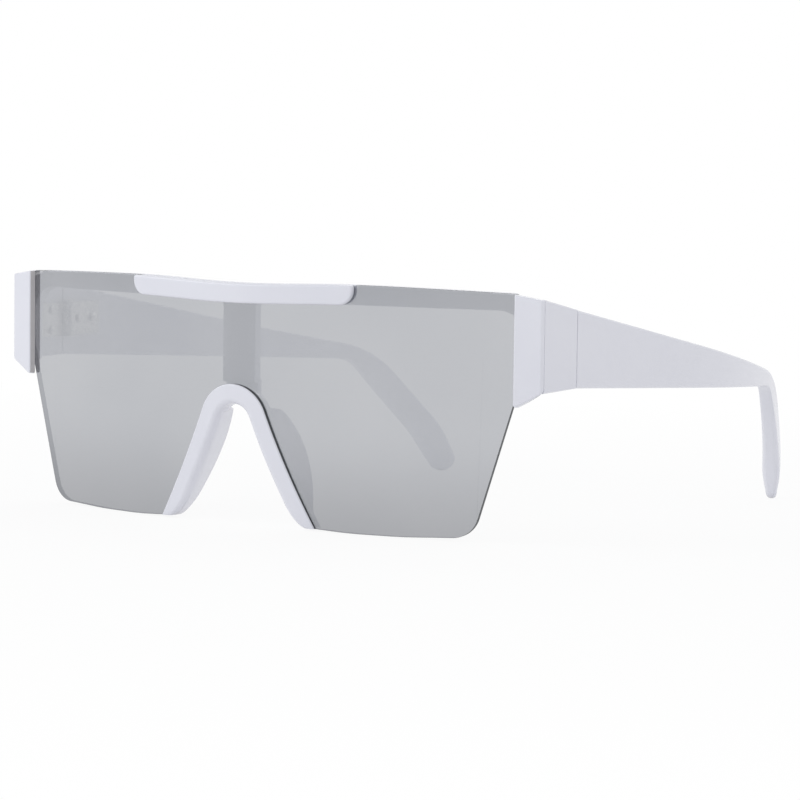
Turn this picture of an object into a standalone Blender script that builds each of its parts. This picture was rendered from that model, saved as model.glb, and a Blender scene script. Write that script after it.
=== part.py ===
import math

import bmesh
import bpy
from mathutils import Matrix, Vector

for leftover in list(bpy.data.objects):
    bpy.data.objects.remove(leftover, do_unlink=True)

# Shield sunglasses in metres. The glasses are modelled in their own frame: X to the wearer's
# left, Y to the back, Z up, with the lens's front centre at Y 0 and its top corners at Z 0.
# At the end a root empty tips them on to the lens's foot and the two ear tips.

# Driving dimensions
FRONT_WIDTH = 0.144
LENS_HEIGHT = 0.05285
TEMPLE_REACH = 0.1574
LUG_REACH = 0.0252

# Plan curve of the front: a small bend at the nose between two nearly flat wings
BEND_RADIUS = 0.080
BEND_ANGLE = math.radians(7.45)
WING_RADIUS = 0.498

# Clearances
SEAT_GAP = 0.0002
RUNNING_GAP = 0.00005
OVERRUN = 0.002

HALF_WIDTH = FRONT_WIDTH / 2
ARC_STEP = math.radians(15)


def collection(name):
    made = bpy.data.collections.new(name)
    bpy.context.scene.collection.children.link(made)
    return made


PARTS = collection("sports_sunglasses")
CUTTERS = collection("cutters")


def empty(name, place, parent=None):
    made = bpy.data.objects.new(name, None)
    made.empty_display_size = LUG_REACH / 2
    made.parent = parent
    made.location = place
    PARTS.objects.link(made)
    return made


def material(name, colour, roughness, metallic):
    made = bpy.data.materials.new(name)
    made.use_nodes = True
    shader = made.node_tree.nodes["Principled BSDF"]
    shader.inputs["Base Color"].default_value = (*colour, 1.0)
    shader.inputs["Roughness"].default_value = roughness
    shader.inputs["Metallic"].default_value = metallic
    return made


# Helpers for outlines and solids
def rounded(corners):
    """Closed outline whose corners (a, b, radius) are turned into arcs."""
    outline = []
    for index, (a, b, radius) in enumerate(corners):
        corner = Vector((a, b))
        before = Vector(corners[index - 1][:2]) - corner
        after = Vector(corners[(index + 1) % len(corners)][:2]) - corner
        half = before.angle(after) / 2
        reach = min(radius / math.tan(half), before.length / 2, after.length / 2)
        if radius == 0 or math.pi - 2 * half < ARC_STEP / 3:
            outline.append(corner)
            continue
        inward = (before.normalized() + after.normalized()).normalized()
        centre = corner + inward * reach / math.cos(half)
        start = corner + before.normalized() * reach - centre
        end = corner + after.normalized() * reach - centre
        steps = max(2, math.ceil(start.angle(end) / ARC_STEP))
        turn = -start.angle_signed(end)
        for step in range(steps + 1):
            arm = start.copy()
            arm.rotate(Matrix.Rotation(turn * step / steps, 2))
            outline.append(centre + arm)
    return outline


def mirrored(half):
    """Corners of one half, X at least 0, followed by the other half's."""
    return half + [(-a, b, radius) for a, b, radius in reversed(half) if a > 0]


# Each plane takes an outline's two coordinates and its depth to X, Y and Z
PLANES = {
    "plan": Matrix.Identity(3),
    "front": Matrix(((1, 0, 0), (0, 0, -1), (0, 1, 0))),
    "side": Matrix(((0, 0, 1), (1, 0, 0), (0, 1, 0))),
}


def prism(name, outline, plane, start, end):
    """Solid of a flat outline, from start to end along the axis square to its plane."""
    curve = bpy.data.curves.new(name, "CURVE")
    curve.dimensions = "2D"
    curve.fill_mode = "BOTH"
    curve.extrude = abs(end - start) / 2
    spline = curve.splines.new("POLY")
    spline.points.add(len(outline) - 1)
    spline.use_cyclic_u = True
    for point, place in zip(spline.points, outline):
        point.co = (place[0], place[1], 0, 1)
    drawn = bpy.data.objects.new(name, curve)
    bpy.context.scene.collection.objects.link(drawn)
    depsgraph = bpy.context.evaluated_depsgraph_get()
    mesh = bpy.data.meshes.new_from_object(drawn.evaluated_get(depsgraph))
    bpy.data.objects.remove(drawn, do_unlink=True)
    turn = PLANES[plane]
    middle = turn @ Vector((0, 0, 1))
    middle = Vector((abs(middle.x), abs(middle.y), abs(middle.z))) * (start + end) / 2
    mesh.transform(Matrix.Translation(middle) @ turn.to_4x4())
    return welded(name, mesh)


def welded(name, mesh):
    shell = bmesh.new()
    shell.from_mesh(mesh)
    bmesh.ops.remove_doubles(shell, verts=shell.verts, dist=SEAT_GAP / 100)
    bmesh.ops.recalc_face_normals(shell, faces=shell.faces)
    shell.to_mesh(mesh)
    shell.free()
    mesh.name = name
    return bpy.data.objects.new(name, mesh)


def loft(name, rings):
    """Closed solid through rings of equal point counts, with a face across each end."""
    shell = bmesh.new()
    rows = [[shell.verts.new(place) for place in ring] for ring in rings]
    for row, following in zip(rows, rows[1:]):
        for i in range(len(row)):
            shell.faces.new((row[i - 1], row[i], following[i], following[i - 1]))
    shell.faces.new(rows[0])
    shell.faces.new(reversed(rows[-1]))
    bmesh.ops.recalc_face_normals(shell, faces=shell.faces)
    mesh = bpy.data.meshes.new(name)
    shell.to_mesh(mesh)
    shell.free()
    return bpy.data.objects.new(name, mesh)


def turned(name, profile, place=Matrix.Identity(4), steps=20):
    """Solid turned about its own Z from a profile of (radius, height), top to bottom."""
    mesh = bpy.data.meshes.new(name)
    mesh.from_pydata([(radius, 0, height) for radius, height in profile],
                     [(i, i + 1) for i in range(len(profile) - 1)], [])
    made = bpy.data.objects.new(name, mesh)
    screw = made.modifiers.new("turn", "SCREW")
    screw.axis = "Z"
    screw.steps = screw.render_steps = steps
    screw.use_merge_vertices = True
    screw.merge_threshold = SEAT_GAP / 100
    screw.use_smooth_shade = True
    made.matrix_basis = place
    return made


def rod(name, radius, low, high, place=Matrix.Identity(4)):
    return turned(name, [(0, high), (radius, high), (radius, low), (0, low)], place)


def adopt(piece, carrier):
    """Parent a piece that is drawn in the glasses' own frame, where its place stays the same."""
    piece.parent = carrier
    piece.matrix_parent_inverse = Matrix.Translation(-carrier.location)


def combine(target, operation, tools, carrier):
    """Boolean of the target with each tool; the tools stay in the file as hidden guides."""
    for tool in tools:
        step = target.modifiers.new(tool.name, "BOOLEAN")
        step.operation = operation
        step.solver = "EXACT"
        step.object = tool
        adopt(tool, carrier)
        tool.hide_render = True
        tool.display_type = "WIRE"
        CUTTERS.objects.link(tool)


def soften(target, width):
    bevel = target.modifiers.new("edge radius", "BEVEL")
    bevel.limit_method = "ANGLE"
    bevel.angle_limit = math.radians(50)
    bevel.width = width
    bevel.segments = 2


def finish(target, carrier, look):
    adopt(target, carrier)
    target.data.materials.clear()
    target.data.materials.append(look)
    target.data.shade_smooth()
    if target.data.polygons:
        target.data.set_sharp_from_angle(angle=math.radians(30))
    PARTS.objects.link(target)


# The shield's plan curve and what is offset from it
def shield_y(x, proud):
    """Y of the surface that lies proud of the lens's front face, or behind it if negative."""
    x = abs(x)
    edge = (BEND_RADIUS + proud) * math.sin(BEND_ANGLE)
    if x <= edge:
        return BEND_RADIUS - math.sqrt((BEND_RADIUS + proud) ** 2 - x ** 2)
    centre_x = (BEND_RADIUS - WING_RADIUS) * math.sin(BEND_ANGLE)
    centre_y = BEND_RADIUS + (WING_RADIUS - BEND_RADIUS) * math.cos(BEND_ANGLE)
    return centre_y - math.sqrt((WING_RADIUS + proud) ** 2 - (x - centre_x) ** 2)


def shield_slope(x):
    step = SEAT_GAP
    return math.atan2(shield_y(x + step, 0) - shield_y(x - step, 0), 2 * step)


SHIELD_STATIONS = 22


def sheet(name, front, back, half_width, low, high):
    """Curved sheet between two surfaces of the shield, from low to high in Z."""
    stations = [half_width * i / SHIELD_STATIONS for i in range(-SHIELD_STATIONS, SHIELD_STATIONS + 1)]
    ahead = [(x, shield_y(x, front)) for x in stations]
    behind = [(x, shield_y(x, back)) for x in reversed(stations)]
    return prism(name, ahead + behind, "plan", low, high)


def shield_piece(name, outline, front, back):
    """The part of a curved sheet that lies inside an outline drawn in the front view."""
    reach = max(abs(x) for x, _ in outline) + OVERRUN
    low = min(z for _, z in outline) - OVERRUN
    high = max(z for _, z in outline) + OVERRUN
    depth = max(abs(shield_y(reach, front)), abs(shield_y(reach, back)), abs(front), abs(back)) + OVERRUN
    piece = sheet(name, front, back, reach, low, high)
    stencil = prism(name + "_outline", outline, "front", -depth, depth)
    combine(piece, "INTERSECT", [stencil], root)
    return piece


def on_shield(x, z, proud=0.0):
    """Frame whose Z points squarely out of the lens's front face at x, moved along it by proud."""
    place = Matrix.Translation((x, shield_y(x, 0), z))
    lean = math.copysign(shield_slope(abs(x)), x) if x else 0.0
    square = Matrix.Rotation(lean, 4, "Z") @ Matrix.Rotation(math.radians(90), 4, "X")
    return place @ square @ Matrix.Translation((0, 0, proud))


# Root of the assembly, tipped to its resting place at the end
root = empty("sunglasses", (0, 0, 0))
white_gloss = material("white gloss moulding", (0.86, 0.86, 0.88), 0.18, 0.0)
mirror_grey = material("mirrored grey lens", (0.52, 0.54, 0.55), 0.06, 0.85)
nickel_steel = material("nickel plated steel", (0.62, 0.61, 0.58), 0.25, 1.0)

# Sizes that the layers of the front share
LENS_THICKNESS = 0.0014
TRIM_PROUD = 0.0016
REAR_THICKNESS = 0.0024
BROW_DIP_Z = 0.00015
BROW_PEAK_Z = 0.0007
BROW_PEAK_X = 0.031
BROW_FALL_POWER = 1.4
CAP_WIDTH = 0.0066
CAP_DROP = 0.0011
CAP_FOLD_HEIGHT = 0.0196
CAP_TIP_DROP = 0.0036
EDGE_RADIUS = 0.00035

LENS_BACK = -LENS_THICKNESS
REAR_FACE = LENS_BACK - SEAT_GAP
REAR_BACK = REAR_FACE - REAR_THICKNESS
CAP_INNER_X = HALF_WIDTH - CAP_WIDTH
FOLD_LOW_Z = -CAP_DROP - CAP_FOLD_HEIGHT
CAP_TIP_Z = FOLD_LOW_Z - CAP_TIP_DROP
TOP_POINTS = 12


def top_z(x):
    """Height of the top edge: a dip at the nose, a rise over each brow, a fall to the end cap."""
    x = abs(x)
    if x < BROW_PEAK_X:
        return BROW_PEAK_Z - (BROW_PEAK_Z - BROW_DIP_Z) * (1 + math.cos(math.pi * x / BROW_PEAK_X)) / 2
    fall = min((x - BROW_PEAK_X) / (CAP_INNER_X - BROW_PEAK_X), 1)
    return BROW_PEAK_Z * (1 - fall ** BROW_FALL_POWER)


def top_edge(limit, tuck=0.0):
    """Top edge from the middle out to the limit, and tucked down a little where the end cap is."""
    inside = [CAP_INNER_X * i / TOP_POINTS for i in range(1, TOP_POINTS + 1)]
    edge = [(x, top_z(x)) for x in inside if x < limit]
    if limit > CAP_INNER_X:
        if tuck:
            edge.append((CAP_INNER_X + tuck, -tuck))
        edge.append((limit, -tuck - CAP_DROP * (limit - CAP_INNER_X) / CAP_WIDTH))
    return edge


# Nose arch: two flared legs and a round top, measured on the trim's outer edge
NOSE_TOP_Z = -0.0219
NOSE_RADIUS = 0.0090
NOSE_LEG_ANGLE = math.radians(22.5)
NOSE_LEG_FLARE = 0.0021
NOSE_TRIM_WIDTH = 0.0044
NOSE_WEB = 0.0014
NOSE_FLANGE = 0.0012
NOSE_PROUD = 0.0009
NOSE_FOOT_EASE = 0.0002
NOSE_FOOT_RISE = 0.0005
NOSE_FOOT_ROUND = 0.0021
NOSE_FOOT_SHARE = 0.2
NOSE_KEY_ANGLE = math.radians(15)
NOSE_KEY_INSET = 0.0009
LEG_SHARES = (0, 0.1, 0.2, 0.3, 0.4, 0.5, 0.6, 0.7, 0.8, 0.87, 0.93, 0.97, 0.99, 1)

NOSE_GROOVE = NOSE_TRIM_WIDTH - NOSE_WEB
NOSE_BACK = REAR_FACE - NOSE_FLANGE
NOSE_CENTRE_Z = NOSE_TOP_Z - NOSE_RADIUS


def nose_edge(way, inset):
    """Point of the arch, inset from its outer edge. The way runs from 0 at the top of the arch
    to 1 at the top of a leg and 2 at its foot, and is negative on the wearer's right."""
    side = math.copysign(1, way)
    arc = (math.pi / 2 - NOSE_LEG_ANGLE) * min(abs(way), 1)
    radius = NOSE_RADIUS - inset
    x = radius * math.sin(arc)
    z = NOSE_CENTRE_Z + radius * math.cos(arc)
    along = max(abs(way) - 1, 0)
    down = along * (z + LENS_HEIGHT - NOSE_FOOT_RISE)
    return side * (x + down * math.tan(NOSE_LEG_ANGLE) + NOSE_LEG_FLARE * along ** 2), z - down


def foot_round(way):
    """How far the rounding of the foot takes in the arch's inner edge."""
    short = max(1 - (2 - abs(way)) / NOSE_FOOT_SHARE, 0)
    return NOSE_FOOT_ROUND * (1 - math.sqrt(1 - short ** 2))


KEY_WAY = NOSE_KEY_ANGLE / (math.pi / 2 - NOSE_LEG_ANGLE)


# Shield lens: one mirrored sheet with holes for the trim studs and a nose cut-out
LENS_TAB_INSET = 0.0024
LENS_TAB_HEIGHT = 0.0071
LENS_TAB_RADIUS = 0.002
LENS_CORNER_INSET = 0.0155
LENS_CORNER_RADIUS = 0.006
LENS_TUCK = 0.0004
LENS_BOW = 0.0007
LENS_BOW_SHARES = ((0.84, 0.45), (0.70, 0), (0.53, 0), (0.42, 0.4))
STUD_RADIUS = 0.0013
STUD_MARGIN = 0.0005
STUD_HOLE_RADIUS = STUD_RADIUS + SEAT_GAP

BROW_STUD_X = 0.022
BROW_STUD_Z = -0.0016
CAP_STUD_X = CAP_INNER_X + STUD_RADIUS + STUD_MARGIN
CAP_STUD_Z = -0.0048
STUD_PLACES = [(side * BROW_STUD_X, BROW_STUD_Z) for side in (-1, 1)]
STUD_PLACES += [(side * CAP_STUD_X, CAP_STUD_Z) for side in (-1, 1)]


def lens_outline(grown=0.0, nose=True):
    tab_x = HALF_WIDTH - LENS_TAB_INSET + grown
    corner_x = HALF_WIDTH - LENS_CORNER_INSET + grown
    low = -LENS_HEIGHT - grown
    half = [(x, z + grown, 0) for x, z in top_edge(tab_x, LENS_TUCK if nose else 0)]
    half += [
        (tab_x, -LENS_TAB_HEIGHT - CAP_DROP, LENS_TAB_RADIUS),
        (corner_x, low + LENS_BOW, LENS_CORNER_RADIUS),
    ]
    half += [(corner_x * out, low + LENS_BOW * rise, 0) for out, rise in LENS_BOW_SHARES]
    if not nose:
        return rounded(mirrored(half))
    free = NOSE_GROOVE - SEAT_GAP
    notch = NOSE_KEY_INSET - SEAT_GAP
    slack = KEY_WAY + SEAT_GAP / NOSE_RADIUS
    ways = [1 + share for share in reversed(LEG_SHARES)] + [slack + (1 - slack) * i / 3 for i in (2, 1, 0)]
    half += [(*nose_edge(way, free - foot_round(way)), 0) for way in ways]
    half += [(*nose_edge(slack * share, notch), 0) for share in (1, 0)]
    return rounded(mirrored(half))


lens = shield_piece("shield_lens", lens_outline(), 0, LENS_BACK)
combine(lens, "DIFFERENCE", [
    rod(f"lens_hole_{i}", STUD_HOLE_RADIUS, -LENS_THICKNESS - OVERRUN, OVERRUN, on_shield(x, z))
    for i, (x, z) in enumerate(STUD_PLACES)], root)
finish(lens, root, mirror_grey)

# Rear frame: top bar, centre bar and the two lugs in one moulding behind the lens
BAR_HEIGHT = 0.0044
BAR_FILLET = 0.007
PLATE_INSET = 0.0021
CENTRE_BAR_WIDTH = 0.0088
CENTRE_BAR_FILLET = 0.0015
CENTRE_FOOT_THICKNESS = 0.0014
CENTRE_FOOT_LAP = 0.0041
LUG_WALL = 0.0032
LUG_CORNER = 0.0006
LUG_OVERLAP = 0.0008
SPLIT_GAP = 0.0002
SPLIT_TOP_DROP = 0.0036
SPLIT_HEIGHT = 0.0168
LUG_SWEEP = 0.004

LUG_INNER_X = HALF_WIDTH - LUG_WALL
FOLD_Y = shield_y(HALF_WIDTH, 0)
SPLIT_LOW_Z = -SPLIT_TOP_DROP - SPLIT_HEIGHT
FOOT_FACE = NOSE_BACK - SEAT_GAP
FOOT_BACK = FOOT_FACE - CENTRE_FOOT_THICKNESS
CENTRE_FOOT_Z = NOSE_TOP_Z - CENTRE_FOOT_LAP

frame_half = [(x, z, 0) for x, z in top_edge(HALF_WIDTH)] + [
    (HALF_WIDTH, FOLD_LOW_Z, LUG_CORNER),
    (CAP_INNER_X + PLATE_INSET, FOLD_LOW_Z, LUG_CORNER),
    (CAP_INNER_X + PLATE_INSET, BROW_PEAK_Z - BAR_HEIGHT, BAR_FILLET),
    (CENTRE_BAR_WIDTH / 2, BROW_PEAK_Z - BAR_HEIGHT, CENTRE_BAR_FILLET),
    (CENTRE_BAR_WIDTH / 2, CENTRE_FOOT_Z, LUG_CORNER),
]
rear_frame = shield_piece("rear_frame", rounded(mirrored(frame_half)), 0, FOOT_BACK)
lug_root_y = shield_y(LUG_INNER_X, REAR_FACE - LUG_OVERLAP)
lug_outline = rounded([
    (lug_root_y, -CAP_DROP, 0),
    (LUG_REACH - SPLIT_GAP / 2, -CAP_DROP, 0),
    (LUG_REACH - SPLIT_GAP / 2, SPLIT_LOW_Z, LUG_CORNER),
    (FOLD_Y + LUG_SWEEP, SPLIT_LOW_Z, LUG_SWEEP),
    (lug_root_y, FOLD_LOW_Z + LUG_CORNER, 0),
])
combine(rear_frame, "DIFFERENCE", [
    # room for the lens in front, for the nose piece below and behind the thin bars
    shield_piece("lens_rebate", lens_outline(SEAT_GAP, nose=False), OVERRUN, REAR_FACE),
    shield_piece("nose_room", rounded([
        (NOSE_RADIUS, -LENS_HEIGHT / 2 - NOSE_RADIUS, 0), (-NOSE_RADIUS, -LENS_HEIGHT / 2 - NOSE_RADIUS, 0),
        (-NOSE_RADIUS, NOSE_TOP_Z + SEAT_GAP, 0), (NOSE_RADIUS, NOSE_TOP_Z + SEAT_GAP, 0)]),
        OVERRUN, FOOT_FACE),
    shield_piece("bar_back_room", rounded(mirrored([
        (HALF_WIDTH + OVERRUN, BROW_PEAK_Z + OVERRUN, 0), (HALF_WIDTH + OVERRUN, CAP_TIP_Z - OVERRUN, 0),
        (CENTRE_BAR_WIDTH, CAP_TIP_Z - OVERRUN, 0), (CENTRE_BAR_WIDTH, NOSE_TOP_Z + NOSE_FLANGE, 0)])),
        REAR_BACK, FOOT_BACK - OVERRUN),
], root)
combine(rear_frame, "UNION", [
    prism(f"lug_{side}", lug_outline, "side", side * LUG_INNER_X, side * HALF_WIDTH)
    for side in (-1, 1)], root)
top_slope = [(FOLD_Y, -CAP_DROP), (LUG_REACH, -SPLIT_TOP_DROP), (LUG_REACH, OVERRUN), (FOLD_Y, OVERRUN)]
combine(rear_frame, "DIFFERENCE", [
    prism(f"lug_top_{side}", top_slope, "side", side * CAP_INNER_X, side * (HALF_WIDTH + OVERRUN))
    for side in (-1, 1)], root)

# Trim screws: small pan heads that pull the front trims on to the rear frame from behind
SCREW_RADIUS = 0.0006
SCREW_HEAD_RADIUS = 0.0011
SCREW_HEAD_HEIGHT = 0.0006
SCREW_HOLE_RADIUS = SCREW_RADIUS + SEAT_GAP
SCREW_GRIP = 0.0012
NOSE_SCREW_INSET = 0.0024


def trim_screw(name, x, z, face, seat):
    """Screw with its head behind the face and its shank reaching past the trim's seat."""
    head = -SEAT_GAP - SCREW_HEAD_HEIGHT
    tip = seat - face + SEAT_GAP + SCREW_GRIP
    profile = [(0, tip), (SCREW_RADIUS, tip), (SCREW_RADIUS, -SEAT_GAP), (SCREW_HEAD_RADIUS, -SEAT_GAP),
               (SCREW_HEAD_RADIUS, head), (0, head)]
    finish(turned(name, profile, on_shield(x, z, face), 14), root, nickel_steel)


for side, word in ((1, "left"), (-1, "right")):
    trim_screw(f"brow_screw_{word}", side * BROW_STUD_X, BROW_STUD_Z, REAR_BACK, LENS_BACK)
    trim_screw(f"end_cap_screw_{word}", side * CAP_STUD_X, CAP_STUD_Z, REAR_BACK, LENS_BACK)
trim_screw("nose_screw", 0, NOSE_TOP_Z - NOSE_SCREW_INSET, FOOT_BACK, FOOT_FACE)

combine(rear_frame, "DIFFERENCE", [
    rod(f"frame_hole_{i}", SCREW_HOLE_RADIUS, FOOT_BACK - OVERRUN, OVERRUN, on_shield(x, z))
    for i, (x, z) in enumerate(STUD_PLACES + [(0, NOSE_TOP_Z - NOSE_SCREW_INSET)])], root)

# Brow bar: moulded trim across the top of the lens, with two studs through it
BROW_HALF_WIDTH = 0.0296
BROW_HEIGHT = 0.0043
BROW_CORNER = 0.0032
BROW_LIP = 0.0006
BROW_EDGE_RADIUS = 0.0005
BROW_SHARES = (0.2, 0.4, 0.6, 0.8)

brow_half = [(BROW_HALF_WIDTH * share, top_z(BROW_HALF_WIDTH * share), 0) for share in BROW_SHARES]
brow_half += [
    (BROW_HALF_WIDTH, top_z(BROW_HALF_WIDTH), BROW_LIP),
    (BROW_HALF_WIDTH, top_z(BROW_HALF_WIDTH) - BROW_HEIGHT, BROW_CORNER),
]
brow_half += [(x, z - BROW_HEIGHT, 0) for x, z, _ in reversed(brow_half[:-2])]
brow_bar = shield_piece("brow_bar", rounded(mirrored(brow_half)), TRIM_PROUD, SEAT_GAP)
soften(brow_bar, BROW_EDGE_RADIUS)


def add_studs(trim, places):
    """Studs on the trim's back that pass through the lens, each bored for its screw."""
    root_height = TRIM_PROUD / 2
    bore_top = LENS_BACK + SCREW_GRIP + 2 * SEAT_GAP
    profile = [(0, root_height), (STUD_RADIUS, root_height), (STUD_RADIUS, LENS_BACK),
               (SCREW_HOLE_RADIUS, LENS_BACK), (SCREW_HOLE_RADIUS, bore_top), (0, bore_top)]
    combine(trim, "UNION", [turned("stud", profile, on_shield(x, z)) for x, z in places], root)


add_studs(brow_bar, [(side * BROW_STUD_X, BROW_STUD_Z) for side in (-1, 1)])
finish(brow_bar, root, white_gloss)

# End caps: flat plates that clamp the lens's upper corners against the lugs
CAP_CORNER = 0.0008
CAP_TOP_CORNER = 0.0003
PEG_RADIUS = 0.0008
PEG_DEPTH = 0.0012
PEG_MARGIN = 0.0010
PEG_X = HALF_WIDTH - PEG_RADIUS - PEG_MARGIN
PEG_Z = FOLD_LOW_Z + LUG_WALL + CAP_CORNER

for side, word in ((1, "left"), (-1, "right")):
    plate = rounded([
        (side * CAP_INNER_X, 0, CAP_TOP_CORNER),
        (side * HALF_WIDTH, -CAP_DROP, CAP_TOP_CORNER),
        (side * HALF_WIDTH, FOLD_LOW_Z, CAP_CORNER),
        (side * CAP_INNER_X, CAP_TIP_Z, CAP_CORNER),
    ])
    cap = shield_piece(f"end_cap_{word}", plate, TRIM_PROUD, SEAT_GAP)
    soften(cap, EDGE_RADIUS)
    peg_place = on_shield(side * PEG_X, PEG_Z)
    combine(cap, "UNION", [rod("peg", PEG_RADIUS, -PEG_DEPTH, TRIM_PROUD / 2, peg_place)], root)
    add_studs(cap, [(side * CAP_STUD_X, CAP_STUD_Z)])
    combine(rear_frame, "DIFFERENCE", [
        rod("peg_hole", PEG_RADIUS + SEAT_GAP, -PEG_DEPTH - SEAT_GAP, OVERRUN, peg_place)], root)
    finish(cap, root, white_gloss)

# Nose piece: one section swept round the arch, with a groove for the lens and lofted pads
PAD_REACH = 0.0072
PAD_FLARE = 0.0026
PAD_WALL = 0.0015
PAD_LIP = 0.0001
PAD_EDGE = 0.0004
PAD_SHAPE = 0.8
PAD_START_WAY = 0.8
NOSE_EDGE_RADIUS = 0.0003
NOSE_INNER_RADIUS = 0.0014
INNER_STEPS = 3
ARC_WAYS = 7


def nose_section(way):
    """Closed section across the arch as (inset from the outer edge, depth behind the lens face)."""
    along = max(abs(way) - 1, 0)
    run = (abs(way) - PAD_START_WAY) / (2 - PAD_START_WAY)
    swell = math.sin(math.pi * run ** PAD_SHAPE) ** PAD_SHAPE if 0 < run < 1 else 0
    back = -NOSE_BACK
    depth = back + PAD_LIP + PAD_REACH * swell
    bevel = min(PAD_EDGE, (depth - back) / 4)
    width = NOSE_TRIM_WIDTH - foot_round(way)
    inner = width - PAD_FLARE * swell
    groove = NOSE_KEY_INSET if abs(way) <= KEY_WAY else NOSE_GROOVE - foot_round(way)
    rim = NOSE_EDGE_RADIUS
    front = NOSE_FOOT_EASE * along ** 2 - NOSE_PROUD
    radius = min(NOSE_INNER_RADIUS, width - 2 * rim)
    turns = [math.radians(90) * i / INNER_STEPS for i in range(INNER_STEPS + 1)]
    web = min(groove, NOSE_KEY_INSET)
    section = [(0, -SEAT_GAP), (0, front + rim), (rim / 3, front + rim / 3), (rim, front)]
    section += [(width - radius * (1 - math.sin(turn)), front + radius * (1 - math.cos(turn)))
                for turn in turns]
    return section + [
        (width, -REAR_FACE), (inner, depth - bevel), (inner - bevel, depth),
        (inner - PAD_WALL + bevel, depth), (inner - PAD_WALL, depth - bevel),
        (width - PAD_WALL, back), (web / 2, back), (web / 2, -REAR_FACE),
        (groove, -REAR_FACE), (groove, -SEAT_GAP),
    ]


def nose_ways():
    key = [KEY_WAY, KEY_WAY + SEAT_GAP / NOSE_RADIUS / 4]
    arc = [KEY_WAY + (1 - KEY_WAY) * i / ARC_WAYS for i in range(1, ARC_WAYS)]
    half = [KEY_WAY / 2] + key + arc + [1 + share for share in LEG_SHARES]
    return [-way for way in reversed(half)] + half


nose_rings = []
for way in nose_ways():
    ring = []
    for inset, depth in nose_section(way):
        x, z = nose_edge(way, inset)
        ring.append((x, shield_y(x, -depth), z))
    nose_rings.append(ring)
nose_piece = loft("nose_piece", nose_rings)
nose_screw_place = on_shield(0, NOSE_TOP_Z - NOSE_SCREW_INSET, FOOT_FACE)
combine(nose_piece, "DIFFERENCE", [
    rod("nose_screw_hole", SCREW_HOLE_RADIUS, -OVERRUN, SCREW_GRIP + 3 * SEAT_GAP, nose_screw_place)], root)
finish(nose_piece, root, white_gloss)

# Temples: flat tapered arms, straight at first, then bent inwards and down behind the ear
TEMPLE_THICKNESS = 0.0032
TEMPLE_STRAIGHT = 0.055
TEMPLE_TOE_IN = math.radians(1.6)
TEMPLE_BOW_RADIUS = 0.192
TEMPLE_TOP_FALL = math.radians(10.5)
TEMPLE_LOW_FALL = math.radians(3.55)
TEMPLE_EDGE_RADIUS = 0.0007
STRETCH_STEPS = (12, 3, 3)
BEND_STEPS = 6
TIP_STEPS = 6
SECTION_STEPS = 3
EDGE_SHARE = 0.4
EAR_WIDTH = 0.006
EAR_REACH = 0.0255
EAR_DROP = math.radians(47.5)
EAR_KNEE_SHARE = 0.71
EAR_THICKNESS = 0.0044
EAR_EDGE_RADIUS = 0.0014
EAR_SWELL_SHARE = 0.8
EAR_TIP_TAPER = 0.75
EAR_TIP_DROP = math.radians(60)
EAR_TIP_BELOW = 0.0030
EAR_LOW_RADIUS = 0.009
EAR_TOP_RADIUS = 0.028
EAR_KNEE_RADIUS = 0.030

STRAIGHT_END_Y = LUG_REACH + TEMPLE_STRAIGHT
TEMPLE_FRONT_Y = LUG_REACH + SPLIT_GAP / 2


def temple_x(y, inset=0.0):
    """Half-width of the temple's outer face at Y, or of the surface inset from it."""
    toe = HALF_WIDTH - inset / math.cos(TEMPLE_TOE_IN) - (y - LUG_REACH) * math.tan(TEMPLE_TOE_IN)
    centre_x = HALF_WIDTH - TEMPLE_STRAIGHT * math.tan(TEMPLE_TOE_IN)
    centre_x -= TEMPLE_BOW_RADIUS * math.cos(TEMPLE_TOE_IN)
    centre_y = STRAIGHT_END_Y - TEMPLE_BOW_RADIUS * math.sin(TEMPLE_TOE_IN)
    radius = TEMPLE_BOW_RADIUS - inset
    if y < centre_y + radius * math.sin(TEMPLE_TOE_IN):
        return toe
    return centre_x + math.sqrt(radius ** 2 - (y - centre_y) ** 2)


def downhill(angle, length):
    return Vector((math.cos(angle), -math.sin(angle))) * length


def across(angle, width):
    return Vector((math.sin(angle), math.cos(angle))) * width


def crossing(start, angle, other, other_angle):
    """Where a line from the start meets another line, both given by how steeply they fall."""
    square = across(other_angle, 1)
    return start + downhill(angle, (other - start).dot(square) / downhill(angle, 1).dot(square))


def side_path(start, bends, end):
    """Path in the side view with rounded bends, every stretch of it cut into a set number of steps."""
    points = [start]
    targets = [corner for corner, _ in bends[1:]] + [end]
    for (corner, radius), target, steps in zip(bends, targets, STRETCH_STEPS):
        before = (points[-1] - corner).normalized()
        after = (target - corner).normalized()
        half = before.angle(after) / 2
        reach = radius / math.tan(half)
        centre = corner + (before + after).normalized() * reach / math.cos(half)
        arm = corner + before * reach - centre
        turn = -arm.angle_signed(corner + after * reach - centre)
        points += [points[-1].lerp(centre + arm, i / steps) for i in range(1, steps)]
        points += [centre + Matrix.Rotation(turn * i / BEND_STEPS, 2) @ arm for i in range(BEND_STEPS + 1)]
    return points + [points[-1].lerp(end, i / STRETCH_STEPS[-1]) for i in range(1, STRETCH_STEPS[-1] + 1)]


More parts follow.
